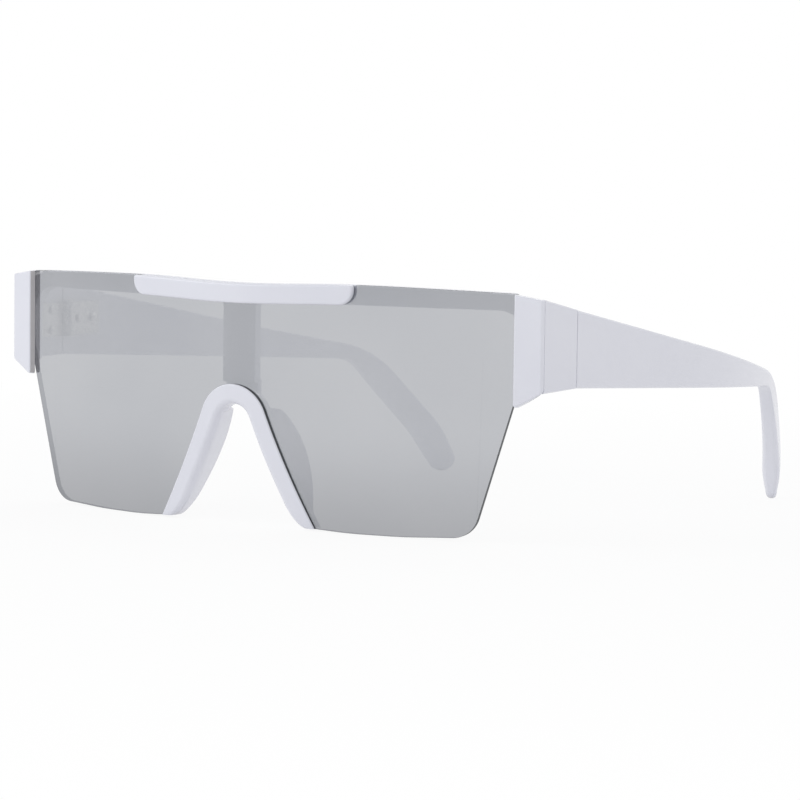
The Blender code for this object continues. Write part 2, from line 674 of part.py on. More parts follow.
def temple_ring(side, low, top, narrowed, swell):
    """Rounded section between a low and a top point of the side view, narrowed on both faces.
    The swell runs from 0 on the flat arm to 1 near the ear tip, which is thicker and rounder."""
    up = top - low
    thickness = TEMPLE_THICKNESS + (EAR_THICKNESS - TEMPLE_THICKNESS) * swell
    radius = TEMPLE_EDGE_RADIUS + (EAR_EDGE_RADIUS - TEMPLE_EDGE_RADIUS) * swell
    radius = min(radius, up.length * EDGE_SHARE, (thickness - 2 * narrowed) * EDGE_SHARE)
    margin = radius + narrowed
    corners = [(up.length - radius, margin), (up.length - radius, thickness - margin),
               (radius, thickness - margin), (radius, margin)]
    ring = []
    for quarter, (rise, inset) in enumerate(corners):
        for step in range(SECTION_STEPS + 1):
            angle = math.radians(90) * (quarter + step / SECTION_STEPS)
            place = low + up.normalized() * (rise + radius * math.sin(angle))
            x = temple_x(place.x, inset - radius * math.cos(angle))
            ring.append((side * x, place.x, place.y))
    return ring


def temple_rings(side):
    """Sections from the split by the hinge, along the taper and the ear part, round the tip."""
    front = TEMPLE_FRONT_Y + EDGE_RADIUS
    top = Vector((front, -SPLIT_TOP_DROP))
    low = Vector((front, SPLIT_LOW_Z))
    bend_run = TEMPLE_REACH - EAR_REACH - front
    bend_low = low + downhill(TEMPLE_LOW_FALL, bend_run / math.cos(TEMPLE_LOW_FALL))
    bend_top = crossing(top, TEMPLE_TOP_FALL, bend_low + across(EAR_DROP, EAR_WIDTH), EAR_DROP)
    ear_fall = bend_low.y + LENS_HEIGHT + EAR_TIP_BELOW
    knee_low = bend_low + downhill(EAR_DROP, ear_fall * EAR_KNEE_SHARE / math.sin(EAR_DROP))
    tip_low = knee_low + downhill(EAR_TIP_DROP, ear_fall * (1 - EAR_KNEE_SHARE) / math.sin(EAR_TIP_DROP))
    tip_top = tip_low + across(EAR_TIP_DROP, EAR_WIDTH)
    knee_top = crossing(bend_top, EAR_DROP, tip_top, EAR_TIP_DROP)
    tops = side_path(top, [(bend_top, EAR_TOP_RADIUS), (knee_top, EAR_KNEE_RADIUS)], tip_top)
    lows = side_path(low, [(bend_low, EAR_LOW_RADIUS), (knee_low, EAR_KNEE_RADIUS)], tip_low)
    edge = Vector((EDGE_RADIUS, EDGE_RADIUS))
    rings = [temple_ring(side, low + Vector((-EDGE_RADIUS, EDGE_RADIUS)), top - edge, EDGE_RADIUS, 0)]
    for under, over in zip(lows, tops):
        down = max(bend_low.y - under.y, 0) / (ear_fall * EAR_SWELL_SHARE)
        rings.append(temple_ring(side, under, over, 0, min(down, 1)))
    for step in range(1, TIP_STEPS + 1):
        angle = math.radians(90) * step / (TIP_STEPS + EDGE_SHARE)
        middle = (tip_low + tip_top) / 2 + downhill(EAR_TIP_DROP, EAR_WIDTH / 2 * math.sin(angle))
        arm = across(EAR_TIP_DROP, EAR_WIDTH / 2 * math.cos(angle))
        narrowed = EAR_THICKNESS / 2 * EAR_TIP_TAPER * (1 - math.cos(angle))
        rings.append(temple_ring(side, middle - arm, middle + arm, narrowed, 1))
    return rings


# Hinges: two leaves with rolled knuckles on a screw, riveted to the lug and the temple
PIN_RADIUS = 0.0007
KNUCKLE_RADIUS = 0.0015
LEAF_THICKNESS = 0.0009
HINGE_HEIGHT = 0.0078
MIDDLE_KNUCKLE = 0.0028
KNUCKLE_GAP = 0.0001
TEMPLE_LEAF_LENGTH = 0.0100
PIN_HEAD_RADIUS = 0.0013
PIN_HEAD_HEIGHT = 0.0006
RIVET_RADIUS = 0.0006
RIVET_HEAD_RADIUS = 0.0010
RIVET_HEAD_HEIGHT = 0.0004
RIVET_GRIP = 0.0020
LUG_RIVET_SPREAD = 0.0048
LEAF_RIVET_SHARES = (0.27, 0.75)

PIN_X = LUG_INNER_X - SEAT_GAP - KNUCKLE_RADIUS
PIN_Y = LUG_REACH
HINGE_Z = -SPLIT_TOP_DROP - SPLIT_HEIGHT / 2
HINGE_LOW = HINGE_Z - HINGE_HEIGHT / 2
HINGE_HIGH = HINGE_Z + HINGE_HEIGHT / 2
MIDDLE_LOW = HINGE_Z - MIDDLE_KNUCKLE / 2
MIDDLE_HIGH = HINGE_Z + MIDDLE_KNUCKLE / 2
KNUCKLE_CLEAR = KNUCKLE_RADIUS + SEAT_GAP
LEAF_INNER = KNUCKLE_RADIUS - LEAF_THICKNESS
FRONT_LEAF_END = shield_y(LUG_INNER_X, REAR_BACK) + SEAT_GAP - PIN_Y


def hinge_plan(side, lean, out, back):
    """Plan place of a point so far outwards of the pin and behind it, on a leaf that leans in."""
    x = PIN_X + out * math.cos(lean) - back * math.sin(lean)
    return side * x, PIN_Y + out * math.sin(lean) + back * math.cos(lean)


def outwards(side, lean, out, back, z):
    """Frame on a leaf whose own Z points away from the wearer's head."""
    place = Matrix.Translation((*hinge_plan(side, lean, out, back), z))
    return place @ Matrix.Rotation(side * lean, 4, "Z") @ Matrix.Rotation(side * math.radians(90), 4, "Y")


def hinge_leaf(name, side, lean, carrier, end, rooms, rivets):
    """Leaf from the knuckle rolled round the pin to its end, with rooms for the other leaf."""
    way = math.copysign(1, end)
    curl = 2 * math.pi - math.acos(LEAF_INNER / KNUCKLE_RADIUS)
    steps = math.ceil(curl / ARC_STEP)
    turns = [curl * i / steps for i in range(steps + 1)]
    profile = [(KNUCKLE_RADIUS, end)]
    profile += [(KNUCKLE_RADIUS * math.cos(turn), -way * KNUCKLE_RADIUS * math.sin(turn)) for turn in turns]
    profile += [(LEAF_INNER, end)]
    leaf = prism(name, [hinge_plan(side, lean, *point) for point in profile], "plan", HINGE_LOW, HINGE_HIGH)
    reach = KNUCKLE_RADIUS + OVERRUN
    room = [(-reach, -reach), (reach, -reach), (reach, KNUCKLE_CLEAR), (-reach, KNUCKLE_CLEAR)]
    room = [hinge_plan(side, lean, out, way * back) for out, back in room]
    tools = [prism(f"{name}_room_{i}", room, "plan", low, high) for i, (low, high) in enumerate(rooms)]
    tools.append(rod(f"{name}_bore", PIN_RADIUS + RUNNING_GAP, HINGE_LOW - OVERRUN, HINGE_HIGH + OVERRUN,
                     Matrix.Translation((side * PIN_X, PIN_Y, 0))))
    tools += [rod(f"{name}_hole_{i}", RIVET_RADIUS + SEAT_GAP, -OVERRUN, OVERRUN,
                  outwards(side, lean, KNUCKLE_RADIUS, back, z)) for i, (back, z) in enumerate(rivets)]
    combine(leaf, "DIFFERENCE", tools, carrier)
    finish(leaf, carrier, nickel_steel)


def add_rivets(name, labels, side, lean, carrier, moulding, rivets):
    """Rivets through a leaf, and blind holes for them in the moulding that the leaf lies on."""
    tip = LEAF_THICKNESS + SEAT_GAP + RIVET_GRIP
    head = -SEAT_GAP - RIVET_HEAD_HEIGHT
    profile = [(0, tip), (RIVET_RADIUS, tip), (RIVET_RADIUS, -SEAT_GAP), (RIVET_HEAD_RADIUS, -SEAT_GAP),
               (RIVET_HEAD_RADIUS, head), (0, head)]
    for label, (back, z) in zip(labels, rivets):
        place = outwards(side, lean, LEAF_INNER, back, z)
        hole = rod(f"{name}_{label}_hole", RIVET_RADIUS + SEAT_GAP, 0, tip + SEAT_GAP, place)
        combine(moulding, "DIFFERENCE", [hole], carrier)
        finish(turned(f"{name}_{label}", profile, place, 14), carrier, nickel_steel)


for side, word in ((1, "left"), (-1, "right")):
    pivot = empty(f"hinge_axis_{word}", (side * PIN_X, PIN_Y, HINGE_Z), root)
    temple = loft(f"temple_{word}", temple_rings(side))

    middle = (FRONT_LEAF_END - KNUCKLE_CLEAR) / 2
    rivets = [(middle, HINGE_Z + way * LUG_RIVET_SPREAD / 2) for way in (1, -1)]
    room = [(MIDDLE_LOW - KNUCKLE_GAP / 2, MIDDLE_HIGH + KNUCKLE_GAP / 2)]
    hinge_leaf(f"hinge_front_leaf_{word}", side, 0, root, FRONT_LEAF_END, room, rivets)
    add_rivets(f"hinge_front_rivet_{word}", ("upper", "lower"), side, 0, root, rear_frame, rivets)

    rivets = [(KNUCKLE_CLEAR + TEMPLE_LEAF_LENGTH * share, HINGE_Z) for share in LEAF_RIVET_SHARES]
    rooms = [(HINGE_LOW - OVERRUN, MIDDLE_LOW + KNUCKLE_GAP / 2),
             (MIDDLE_HIGH - KNUCKLE_GAP / 2, HINGE_HIGH + OVERRUN)]
    lean, end = TEMPLE_TOE_IN, KNUCKLE_CLEAR + TEMPLE_LEAF_LENGTH
    hinge_leaf(f"hinge_temple_leaf_{word}", side, lean, pivot, end, rooms, rivets)
    add_rivets(f"hinge_temple_rivet_{word}", ("front", "rear"), side, lean, pivot, temple, rivets)
    finish(temple, pivot, white_gloss)

    seat = HINGE_HIGH + KNUCKLE_GAP
    head = seat + PIN_HEAD_HEIGHT
    profile = [(0, head), (PIN_HEAD_RADIUS, head), (PIN_HEAD_RADIUS, seat), (PIN_RADIUS, seat),
               (PIN_RADIUS, HINGE_LOW), (0, HINGE_LOW)]
    screw = turned(f"hinge_screw_{word}", profile, Matrix.Translation((side * PIN_X, PIN_Y, 0)))
    finish(screw, root, nickel_steel)

finish(rear_frame, root, white_gloss)


def world_points():
    bpy.context.view_layer.update()
    depsgraph = bpy.context.evaluated_depsgraph_get()
    points = []
    for piece in PARTS.objects:
        if piece.type == "MESH":
            solid = piece.evaluated_get(depsgraph)
            points += [solid.matrix_world @ vertex.co for vertex in solid.data.vertices]
    return points


# Resting place: tipped until the lens's foot and the ear tips are level, then centred on the floor
POINTS = world_points()
tip_angle = 0.0
for _ in range(8):
    turn = Matrix.Rotation(tip_angle, 3, "X")
    front_foot = min((p for p in POINTS if p.y < TEMPLE_REACH / 2), key=lambda p: (turn @ p).z)
    ear_foot = min((p for p in POINTS if p.y > TEMPLE_REACH / 2), key=lambda p: (turn @ p).z)
    tip_angle = math.atan2(front_foot.z - ear_foot.z, ear_foot.y - front_foot.y)
settled = [Matrix.Rotation(tip_angle, 3, "X") @ p for p in POINTS]
middle_y = (min(p.y for p in settled) + max(p.y for p in settled)) / 2
root.rotation_euler.x = tip_angle
root.location = (0, -middle_y, -min(p.z for p in settled))
bpy.context.view_layer.update()
print(f"tipped {math.degrees(tip_angle):.3f} degrees, moved {-middle_y:.5f} back, {root.location.z:.5f} up")
for word in ("left", "right"):
    axis = bpy.data.objects[f"hinge_axis_{word}"].matrix_world
    print(f"hinge {word} at", [round(c, 6) for c in axis.translation], "along",
          [round(c, 6) for c in axis.col[2][:3]])
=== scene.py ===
import math
import bpy
from mathutils import Matrix, Vector


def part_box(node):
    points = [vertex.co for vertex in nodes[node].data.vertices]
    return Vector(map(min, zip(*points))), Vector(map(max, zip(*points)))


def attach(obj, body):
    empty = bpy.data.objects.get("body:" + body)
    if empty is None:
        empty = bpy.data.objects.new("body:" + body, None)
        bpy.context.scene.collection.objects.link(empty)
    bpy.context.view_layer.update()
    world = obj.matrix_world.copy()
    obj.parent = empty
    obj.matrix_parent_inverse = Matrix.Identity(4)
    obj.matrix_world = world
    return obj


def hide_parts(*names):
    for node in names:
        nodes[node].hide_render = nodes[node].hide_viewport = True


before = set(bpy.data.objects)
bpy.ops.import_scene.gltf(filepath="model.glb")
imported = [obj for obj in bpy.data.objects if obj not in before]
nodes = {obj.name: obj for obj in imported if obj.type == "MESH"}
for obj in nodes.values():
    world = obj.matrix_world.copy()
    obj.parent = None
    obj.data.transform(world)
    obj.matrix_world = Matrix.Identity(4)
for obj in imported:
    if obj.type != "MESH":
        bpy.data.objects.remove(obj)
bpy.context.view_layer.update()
scene = bpy.context.scene

# The photograph's view: a long lens, nearly level with the glasses, on their front and on the
# outside of the wearer's left temple.
CAMERA_PLACE, CAMERA_LENS = (0.45489, -0.69377, 0.07668), 157.73
CAMERA_TURN = [math.radians(angle) for angle in (86.3752, -1.668, 33.9178)]
bpy.ops.object.select_all(action="DESELECT")
bpy.ops.object.camera_add(location=CAMERA_PLACE, rotation=CAMERA_TURN)
camera = bpy.context.object
camera.name = "photo_camera"
camera.data.lens = CAMERA_LENS
camera.data.sensor_width = 36.0
camera.data.clip_start = 0.01
scene.camera = camera
scene.view_settings.view_transform = "Standard"

# Studio: a pale floor that keeps a faint shadow near the glasses and fades to plain white
# further out, a white room seen by the camera and in the mirror of the lens, and soft lamps.
FLOOR_RADIUS, FADE_START, FADE_END, NEAR_GLOW = 1.6, 0.10, 0.42, 0.90


def math_node(tree, operation, first, second):
    """Work one value out of two outputs of a node tree."""
    node = tree.nodes.new("ShaderNodeMath")
    node.operation = operation
    tree.links.new(first, node.inputs[0])
    tree.links.new(second, node.inputs[1])
    return node.outputs[0]


def seen(tree):
    """Output that is 1 for what the picture shows, straight, mirrored or through the lens."""
    rays = tree.nodes.new("ShaderNodeLightPath").outputs
    direct = math_node(tree, "MAXIMUM", rays["Is Camera Ray"], rays["Is Glossy Ray"])
    return math_node(tree, "MAXIMUM", direct, rays["Is Transmission Ray"])


def mix_at_end(tree, end, share, first, second):
    """Send a mix of two shaders to the end of a node tree."""
    mix = tree.nodes.new("ShaderNodeMixShader")
    tree.links.new(share, mix.inputs[0])
    tree.links.new(first.outputs[0], mix.inputs[1])
    tree.links.new(second.outputs[0], mix.inputs[2])
    tree.links.new(mix.outputs[0], tree.nodes[end].inputs["Surface"])


bpy.ops.mesh.primitive_circle_add(vertices=96, radius=FLOOR_RADIUS, fill_type="NGON",
                                  location=(0, 0, 0))
floor = bpy.context.object
floor.name = "studio_floor"

paper = bpy.data.materials.new("floor_paper")
paper.use_nodes = True
tree = paper.node_tree
paper_shader = tree.nodes["Principled BSDF"]
paper_shader.inputs["Base Color"].default_value = (0.9, 0.9, 0.9, 1)
paper_shader.inputs["Roughness"].default_value = 0.9
paper_shader.inputs["Specular IOR Level"].default_value = 0.0
paper_glow = tree.nodes.new("ShaderNodeEmission")
paper_glow.inputs["Color"].default_value = (1, 1, 1, 1)
paper_glow.inputs["Strength"].default_value = 1.0
paper_place = tree.nodes.new("ShaderNodeTexCoord")
paper_far = tree.nodes.new("ShaderNodeVectorMath")
paper_far.operation = "LENGTH"
paper_fade = tree.nodes.new("ShaderNodeMapRange")
paper_fade.inputs["From Min"].default_value = FADE_START
paper_fade.inputs["From Max"].default_value = FADE_END
paper_fade.inputs["To Min"].default_value = NEAR_GLOW
paper_fade.inputs["To Max"].default_value = 1.0
tree.links.new(paper_place.outputs["Object"], paper_far.inputs[0])
tree.links.new(paper_far.outputs["Value"], paper_fade.inputs["Value"])
paper_share = math_node(tree, "MULTIPLY", seen(tree), paper_fade.outputs["Result"])
mix_at_end(tree, "Material Output", paper_share, paper_shader, paper_glow)
floor.data.materials.append(paper)

world = bpy.data.worlds.new("studio_room")
scene.world = world
world.use_nodes = True
tree = world.node_tree
room_light = tree.nodes["Background"]
room_light.inputs["Color"].default_value = (0.97, 0.98, 1.0, 1)
room_light.inputs["Strength"].default_value = 0.64
room_seen = tree.nodes.new("ShaderNodeBackground")
room_seen.inputs["Color"].default_value = (1, 1, 1, 1)
room_seen.inputs["Strength"].default_value = 1.0
mix_at_end(tree, "World Output", seen(tree), room_light, room_seen)

COOL, COOLER, PLAIN = (0.97, 0.985, 1.0), (0.95, 0.975, 1.0), (1.0, 1.0, 1.0)
for name, place, target, size, power, colour in (
        ("key_softbox", (-0.75, -0.70, 0.62), (0, 0, 0.03), (0.9, 0.6), 3.5, COOL),
        ("low_softbox", (0.30, -1.0, 0.10), (0.05, 0.05, 0.03), (0.7, 0.15), 0.75, COOL),
        ("front_softbox", (0.05, -1.15, 0.42), (0, 0, 0.02), (0.9, 0.4), 0.3, COOLER),
        ("side_softbox", (0.85, 0.50, 0.45), (0.05, 0.05, 0.03), (0.7, 0.6), 1.25, PLAIN),
        ("back_softbox", (-0.3, 0.9, 0.8), (0, 0, 0.02), (0.9, 0.6), 2.5, PLAIN)):
    bpy.ops.object.light_add(type="AREA", location=place)
    lamp = bpy.context.object
    lamp.name = name
    lamp.rotation_euler = (Vector(target) - Vector(place)).to_track_quat("-Z", "Y").to_euler()
    lamp.data.shape = "RECTANGLE"
    lamp.data.size, lamp.data.size_y = size
    lamp.data.energy = power
    lamp.data.color = colour

# Shield lens: one curved sheet of grey polycarbonate with a silver mirror coating on its front,
# cut from a moulded blank and held by the studs of the trims. Its edge shows as a dark line. It is
# drawn flat and upright, pressed on to the front's curve and tipped into the resting place.
REST_TILT, REST_PLACE = math.radians(1.66838), (0, -0.08051, 0.052722)
BEND_RADIUS, BEND_ANGLE, WING_RADIUS = 0.080, math.radians(7.45), 0.498
HALF_WIDTH, CAP_INNER_X = 0.072, 0.0654
LENS_THICKNESS, LENS_LOW_Z = 0.0014, -0.05285
BROW_DIP_Z, BROW_PEAK_Z, BROW_PEAK_X, BROW_FALL_POWER = 0.00015, 0.0007, 0.031, 1.4
NOSE_TOP_Z, NOSE_RADIUS, NOSE_LEG_ANGLE = -0.0219, 0.0090, math.radians(22.5)
NOSE_LEG_FLARE, NOSE_FOOT_RISE, NOSE_FOOT_ROUND, NOSE_FOOT_SHARE = 0.0021, 0.0005, 0.0021, 0.2
NOSE_TRIM_WIDTH, NOSE_GROOVE = 0.0044, 0.0030
LINE_STEP, LINE_STEPS, MOULD_LOW, MOULD_HEIGHT = 0.0004, 185, -0.07, 0.09
STRIP = 0.0012


def front_y(x, proud=0.0):
    """Y of the surface that lies proud of the lens's front, along the curve of the front."""
    x = abs(x)
    if x <= (BEND_RADIUS + proud) * math.sin(BEND_ANGLE):
        return BEND_RADIUS - math.sqrt((BEND_RADIUS + proud) ** 2 - x ** 2)
    centre_x = (BEND_RADIUS - WING_RADIUS) * math.sin(BEND_ANGLE)
    centre_y = BEND_RADIUS + (WING_RADIUS - BEND_RADIUS) * math.cos(BEND_ANGLE)
    return centre_y - math.sqrt((WING_RADIUS + proud) ** 2 - (x - centre_x) ** 2)


def top_z(x):
    """Height of the top edge: a dip at the nose, a rise over each brow, a fall to the cap."""
    x = abs(x)
    if x < BROW_PEAK_X:
        dip = (1 + math.cos(math.pi * x / BROW_PEAK_X)) / 2
        return BROW_PEAK_Z - (BROW_PEAK_Z - BROW_DIP_Z) * dip
    fall = min((x - BROW_PEAK_X) / (CAP_INNER_X - BROW_PEAK_X), 1)
    return BROW_PEAK_Z * (1 - fall ** BROW_FALL_POWER)


def pick(piece):
    """Select one piece alone, for the steps that follow."""
    bpy.ops.object.select_all(action="DESELECT")
    piece.select_set(True)
    bpy.context.view_layer.objects.active = piece


def edit_all():
    """Open the picked piece for editing, with all of it selected."""
    bpy.ops.object.mode_set(mode="EDIT")
    bpy.ops.mesh.select_all(action="SELECT")


def close_edit():
    bpy.ops.object.mode_set(mode="OBJECT")


def discard(piece):
    pick(piece)
    bpy.ops.object.delete()


def flat(x, z):
    """Point of the flat drawing of the front."""
    return Vector((x, 0, z))


def draw_line(name, points):
    """Line drawn by extruding one vertex from place to place."""
    bpy.ops.object.select_all(action="DESELECT")
    bpy.ops.mesh.primitive_plane_add(size=0.001, location=points[0])
    piece = bpy.context.object
    piece.name = name
    edit_all()
    bpy.ops.mesh.merge(type="CENTER")
    for before, after in zip(points, points[1:]):
        step = Vector(after) - Vector(before)
        bpy.ops.mesh.extrude_region_move(TRANSFORM_OT_translate={"value": step})
    close_edit()
    bpy.ops.object.transform_apply(location=True, rotation=True, scale=True)
    return piece


def pressing_mould(name, proud=0.0):
    """Tall sheet on the front's curve, which a flat blank is pressed on to."""
    line = [LINE_STEP * i for i in range(-LINE_STEPS, LINE_STEPS + 1)]
    mould = draw_line(name, [(x, front_y(x, proud), MOULD_LOW) for x in line])
    edit_all()
    bpy.ops.mesh.extrude_region_move(TRANSFORM_OT_translate={"value": (0, 0, MOULD_HEIGHT)})
    close_edit()
    return mould


def blank(name, outline, strips):
    """Flat blank of an outline, facing the front and cut into strips so that it can be bent."""
    across_x, forwards = Vector((1, 0, 0)), Vector((0, -1, 0))
    piece = draw_line(name, outline)
    edit_all()
    bpy.ops.mesh.edge_face_add()
    for i in range(-strips, strips + 1):
        bpy.ops.mesh.select_all(action="SELECT")
        bpy.ops.mesh.bisect(plane_co=across_x * (STRIP * i), plane_no=across_x)
    close_edit()
    if piece.data.polygons[0].normal.dot(forwards) < 0:
        edit_all()
        bpy.ops.mesh.flip_normals()
        close_edit()
    return piece


def apply_modifiers(piece):
    pick(piece)
    for step in list(piece.modifiers):
        bpy.ops.object.modifier_apply(modifier=step.name)


def press(piece, mould, thickness, radius, segments, angle=40):
    """Press a blank on to a mould, give it its thickness and round its edges."""
    form = piece.modifiers.new("pressed", "SHRINKWRAP")
    form.wrap_method = "PROJECT"
    form.use_project_y = True
    form.use_negative_direction = form.use_positive_direction = True
    form.target = mould
    wall = piece.modifiers.new("wall", "SOLIDIFY")
    wall.thickness = thickness
    wall.offset = -1
    wall.use_even_offset = True
    apply_modifiers(piece)
    edges = piece.modifiers.new("edge radius", "BEVEL")
    edges.limit_method = "ANGLE"
    edges.angle_limit = math.radians(angle)
    edges.width = radius
    edges.segments = segments
    edges.use_clamp_overlap = False
    apply_modifiers(piece)


def settle(piece):
    """Tip a piece that is drawn upright into the glasses' resting place."""
    pick(piece)
    piece.rotation_euler = (REST_TILT, 0, 0)
    piece.location = REST_PLACE
    bpy.ops.object.transform_apply(location=True, rotation=True, scale=True)


def arc(corner, before, after, radius, steps=7):
    """Points of the arc that rounds a corner between its two neighbours."""
    a, b = (before - corner).normalized(), (after - corner).normalized()
    half = a.angle(b) / 2
    reach = radius / math.tan(half)
    centre = corner + (a + b).normalized() * radius / math.sin(half)
    start, end = corner + a * reach - centre, corner + b * reach - centre
    turn = start.angle(end)
    points = []
    for i in range(steps + 1):
        share = i / steps
        arm = start * math.sin((1 - share) * turn) + end * math.sin(share * turn)
        points.append(centre + arm / math.sin(turn))
    return points


def nose_edge(way, inset):
    """Point of the nose arch, inset from its outer edge. The way runs from 0 at the top to 1
    at the top of a leg and 2 at its foot, and is negative on the wearer's right."""
    side = math.copysign(1, way)
    turn = (math.pi / 2 - NOSE_LEG_ANGLE) * min(abs(way), 1)
    x = (NOSE_RADIUS - inset) * math.sin(turn)
    z = NOSE_TOP_Z - NOSE_RADIUS + (NOSE_RADIUS - inset) * math.cos(turn)
    along = max(abs(way) - 1, 0)
    down = along * (z - LENS_LOW_Z - NOSE_FOOT_RISE)
    return side * (x + down * math.tan(NOSE_LEG_ANGLE) + NOSE_LEG_FLARE * along ** 2), z - down


def foot_round(way):
    """How far the rounding of the foot takes in the arch's inner edge."""
    short = max(1 - (2 - abs(way)) / NOSE_FOOT_SHARE, 0)
    return NOSE_FOOT_ROUND * (1 - math.sqrt(1 - short ** 2))


def mirrored_loop(half):
    """Closed outline from one half, X at least 0, and its mirror image."""
    whole = half + [Vector((-p.x, p.y, p.z)) for p in reversed(half) if p.x > 1e-7]
    return [p for i, p in enumerate(whole) if (p - whole[i - 1]).length > 1e-6]


def mottled(name, scale, tones, spread=(0, 1), gloss=None, bump=None, **settings):
    """Material whose tone drifts with a noise over the piece, and where asked its gloss and its
    surface too. The settings are plain values of the shader. The nodes that a material can add
    to come back with it."""
    made = bpy.data.materials.new(name)
    made.use_nodes = True
    tree = made.node_tree
    shader = tree.nodes["Principled BSDF"]
    for socket, value in settings.items():
        shader.inputs[socket].default_value = value
    place = tree.nodes.new("ShaderNodeTexCoord")
    noise = tree.nodes.new("ShaderNodeTexNoise")
    noise.inputs["Scale"].default_value = scale
    tone = tree.nodes.new("ShaderNodeValToRGB")
    for stop, position, colour in zip(tone.color_ramp.elements, spread, tones):
        stop.position = position
        stop.color = (*colour, 1)
    tree.links.new(place.outputs["Object"], noise.inputs["Vector"])
    tree.links.new(noise.outputs["Fac"], tone.inputs["Fac"])
    tree.links.new(tone.outputs["Color"], shader.inputs["Base Color"])
    if gloss:
        shine = tree.nodes.new("ShaderNodeMapRange")
        shine.inputs["To Min"].default_value, shine.inputs["To Max"].default_value = gloss
        tree.links.new(noise.outputs["Fac"], shine.inputs["Value"])
        tree.links.new(shine.outputs["Result"], shader.inputs["Roughness"])
    if bump:
        wave = tree.nodes.new("ShaderNodeBump")
        wave.inputs["Strength"].default_value, wave.inputs["Distance"].default_value = bump
        tree.links.new(noise.outputs["Fac"], wave.inputs["Height"])
        tree.links.new(wave.outputs["Normal"], shader.inputs["Normal"])
    return made, tree, place, noise, tone


def finish_piece(piece, material, slot, body, *replaced):
    """Smooth the piece, give it its material and let it ride in the place of its CAD nodes."""
    pick(piece)
    bpy.ops.object.shade_smooth_by_angle(angle=math.radians(38))
    even = piece.modifiers.new("even faces", "WEIGHTED_NORMAL")
    even.keep_sharp = True
    bpy.ops.object.modifier_apply(modifier=even.name)
    piece.data.materials.clear()
    piece.data.materials.append(material)
    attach(piece, body)
    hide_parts(*replaced)


def coat_faces(piece, material, chosen):
    """Give the chosen faces of a piece a material of their own."""
    piece.data.materials.append(material)
    for face in piece.data.polygons:
        if chosen(face):
            face.material_index = len(piece.data.materials) - 1


TOP_STEPS, BROW_COVER_X, BROW_COVER_DROP = 44, 0.0290, 0.0004
SIDE_TOP, SIDE_LOW = flat(0.0696, -0.0011), flat(0.0696, -0.0082)
LOW_CORNER, LOW_START = flat(0.0565, -0.05215), flat(0.04746, -0.05254)
UNDER_CAP = flat(0.0658, -0.0004)
SIDE_RADIUS, LOW_RADIUS, LENS_EDGE_RADIUS, LENS_STRIPS = 0.002, 0.006, 0.00012, 58
SEAT_GAP, LEG_STEPS, NOSE_STEPS, ARCH_INSET, ARCH_WAYS = 0.0002, 36, 64, 0.0007, (0.2, 0.1, 0)
LENS_FOOT = ((0.04746, -0.052535), (0.0445, -0.05268), (0.0415, -0.0528), (0.0385, LENS_LOW_Z),
             (0.0345, LENS_LOW_Z), (0.0305, LENS_LOW_Z), (0.0270, -0.05275), (0.0237, -0.05257))
top_xs = [CAP_INNER_X * i / TOP_STEPS for i in range(TOP_STEPS + 1)]
lens_half = [flat(x, top_z(x) - (BROW_COVER_DROP if x < BROW_COVER_X else 0)) for x in top_xs]
lens_half += [UNDER_CAP, SIDE_TOP]
lens_half += arc(SIDE_LOW, SIDE_TOP, LOW_CORNER, SIDE_RADIUS)
lens_half += arc(LOW_CORNER, SIDE_LOW, LOW_START, LOW_RADIUS, 14)
lens_half += [flat(*place) for place in LENS_FOOT]
lens_half += [flat(*nose_edge(way, NOSE_GROOVE - SEAT_GAP - foot_round(way)))
              for way in [2 - i / LEG_STEPS for i in range(NOSE_STEPS + 1)]]
lens_half += [flat(*nose_edge(way, ARCH_INSET)) for way in ARCH_WAYS]
lens = blank("shield_lens_sheet", mirrored_loop(lens_half), LENS_STRIPS)
lens_mould = pressing_mould("lens_mould")
press(lens, lens_mould, LENS_THICKNESS, LENS_EDGE_RADIUS, 2)
discard(lens_mould)
settle(lens)

# Its coating lets a little through, and its base colour is darkened towards the foot as a painted
# reflection. The cut edge is dull and dark, and the back is clear but for a grey tint.
MIRROR_LOW_Z, MIRROR_HIGH_Z, PAINTED_REFLECTION_LOW_SHARE = -0.004, 0.024, 0.72
mirror, tree, mirror_place, _, mirror_tone = mottled(
    "silver_mirror_coating", 26, ((0.430, 0.443, 0.474), (0.474, 0.484, 0.512)), (0.25, 0.75),
    gloss=(0.035, 0.075), Metallic=1.0, Alpha=0.85)
# Painted reflection: the mirror's base colour is scaled down towards the foot of the lens.
mirror_height = tree.nodes.new("ShaderNodeSeparateXYZ")
painted_reflection_fall = tree.nodes.new("ShaderNodeMapRange")
painted_reflection_fall.interpolation_type = "SMOOTHSTEP"
painted_reflection_fall.inputs["From Min"].default_value = MIRROR_LOW_Z
painted_reflection_fall.inputs["From Max"].default_value = MIRROR_HIGH_Z
painted_reflection_fall.inputs["To Min"].default_value = PAINTED_REFLECTION_LOW_SHARE
painted_reflection_fall.inputs["To Max"].default_value = 1.0
mirror_shade = tree.nodes.new("ShaderNodeVectorMath")
mirror_shade.operation = "SCALE"
tree.links.new(mirror_place.outputs["Object"], mirror_height.inputs["Vector"])
tree.links.new(mirror_height.outputs["Z"], painted_reflection_fall.inputs["Value"])
tree.links.new(mirror_tone.outputs["Color"], mirror_shade.inputs[0])
tree.links.new(painted_reflection_fall.outputs["Result"], mirror_shade.inputs["Scale"])
tree.links.new(mirror_shade.outputs["Vector"],
               tree.nodes["Principled BSDF"].inputs["Base Color"])
DULL = {"Roughness": 0.45, "Specular IOR Level": 0.25}
lens_edge_and_painted_shade = mottled("lens_cut_edge_and_wall_shade", 900, ((0.050, 0.053, 0.057), (0.085, 0.089, 0.095)),
                    **DULL)[0]
lens_back = mottled("lens_back_tint", 60, ((0.30, 0.31, 0.32), (0.36, 0.37, 0.38)),
                    gloss=(0.04, 0.10), Alpha=0.08)[0]
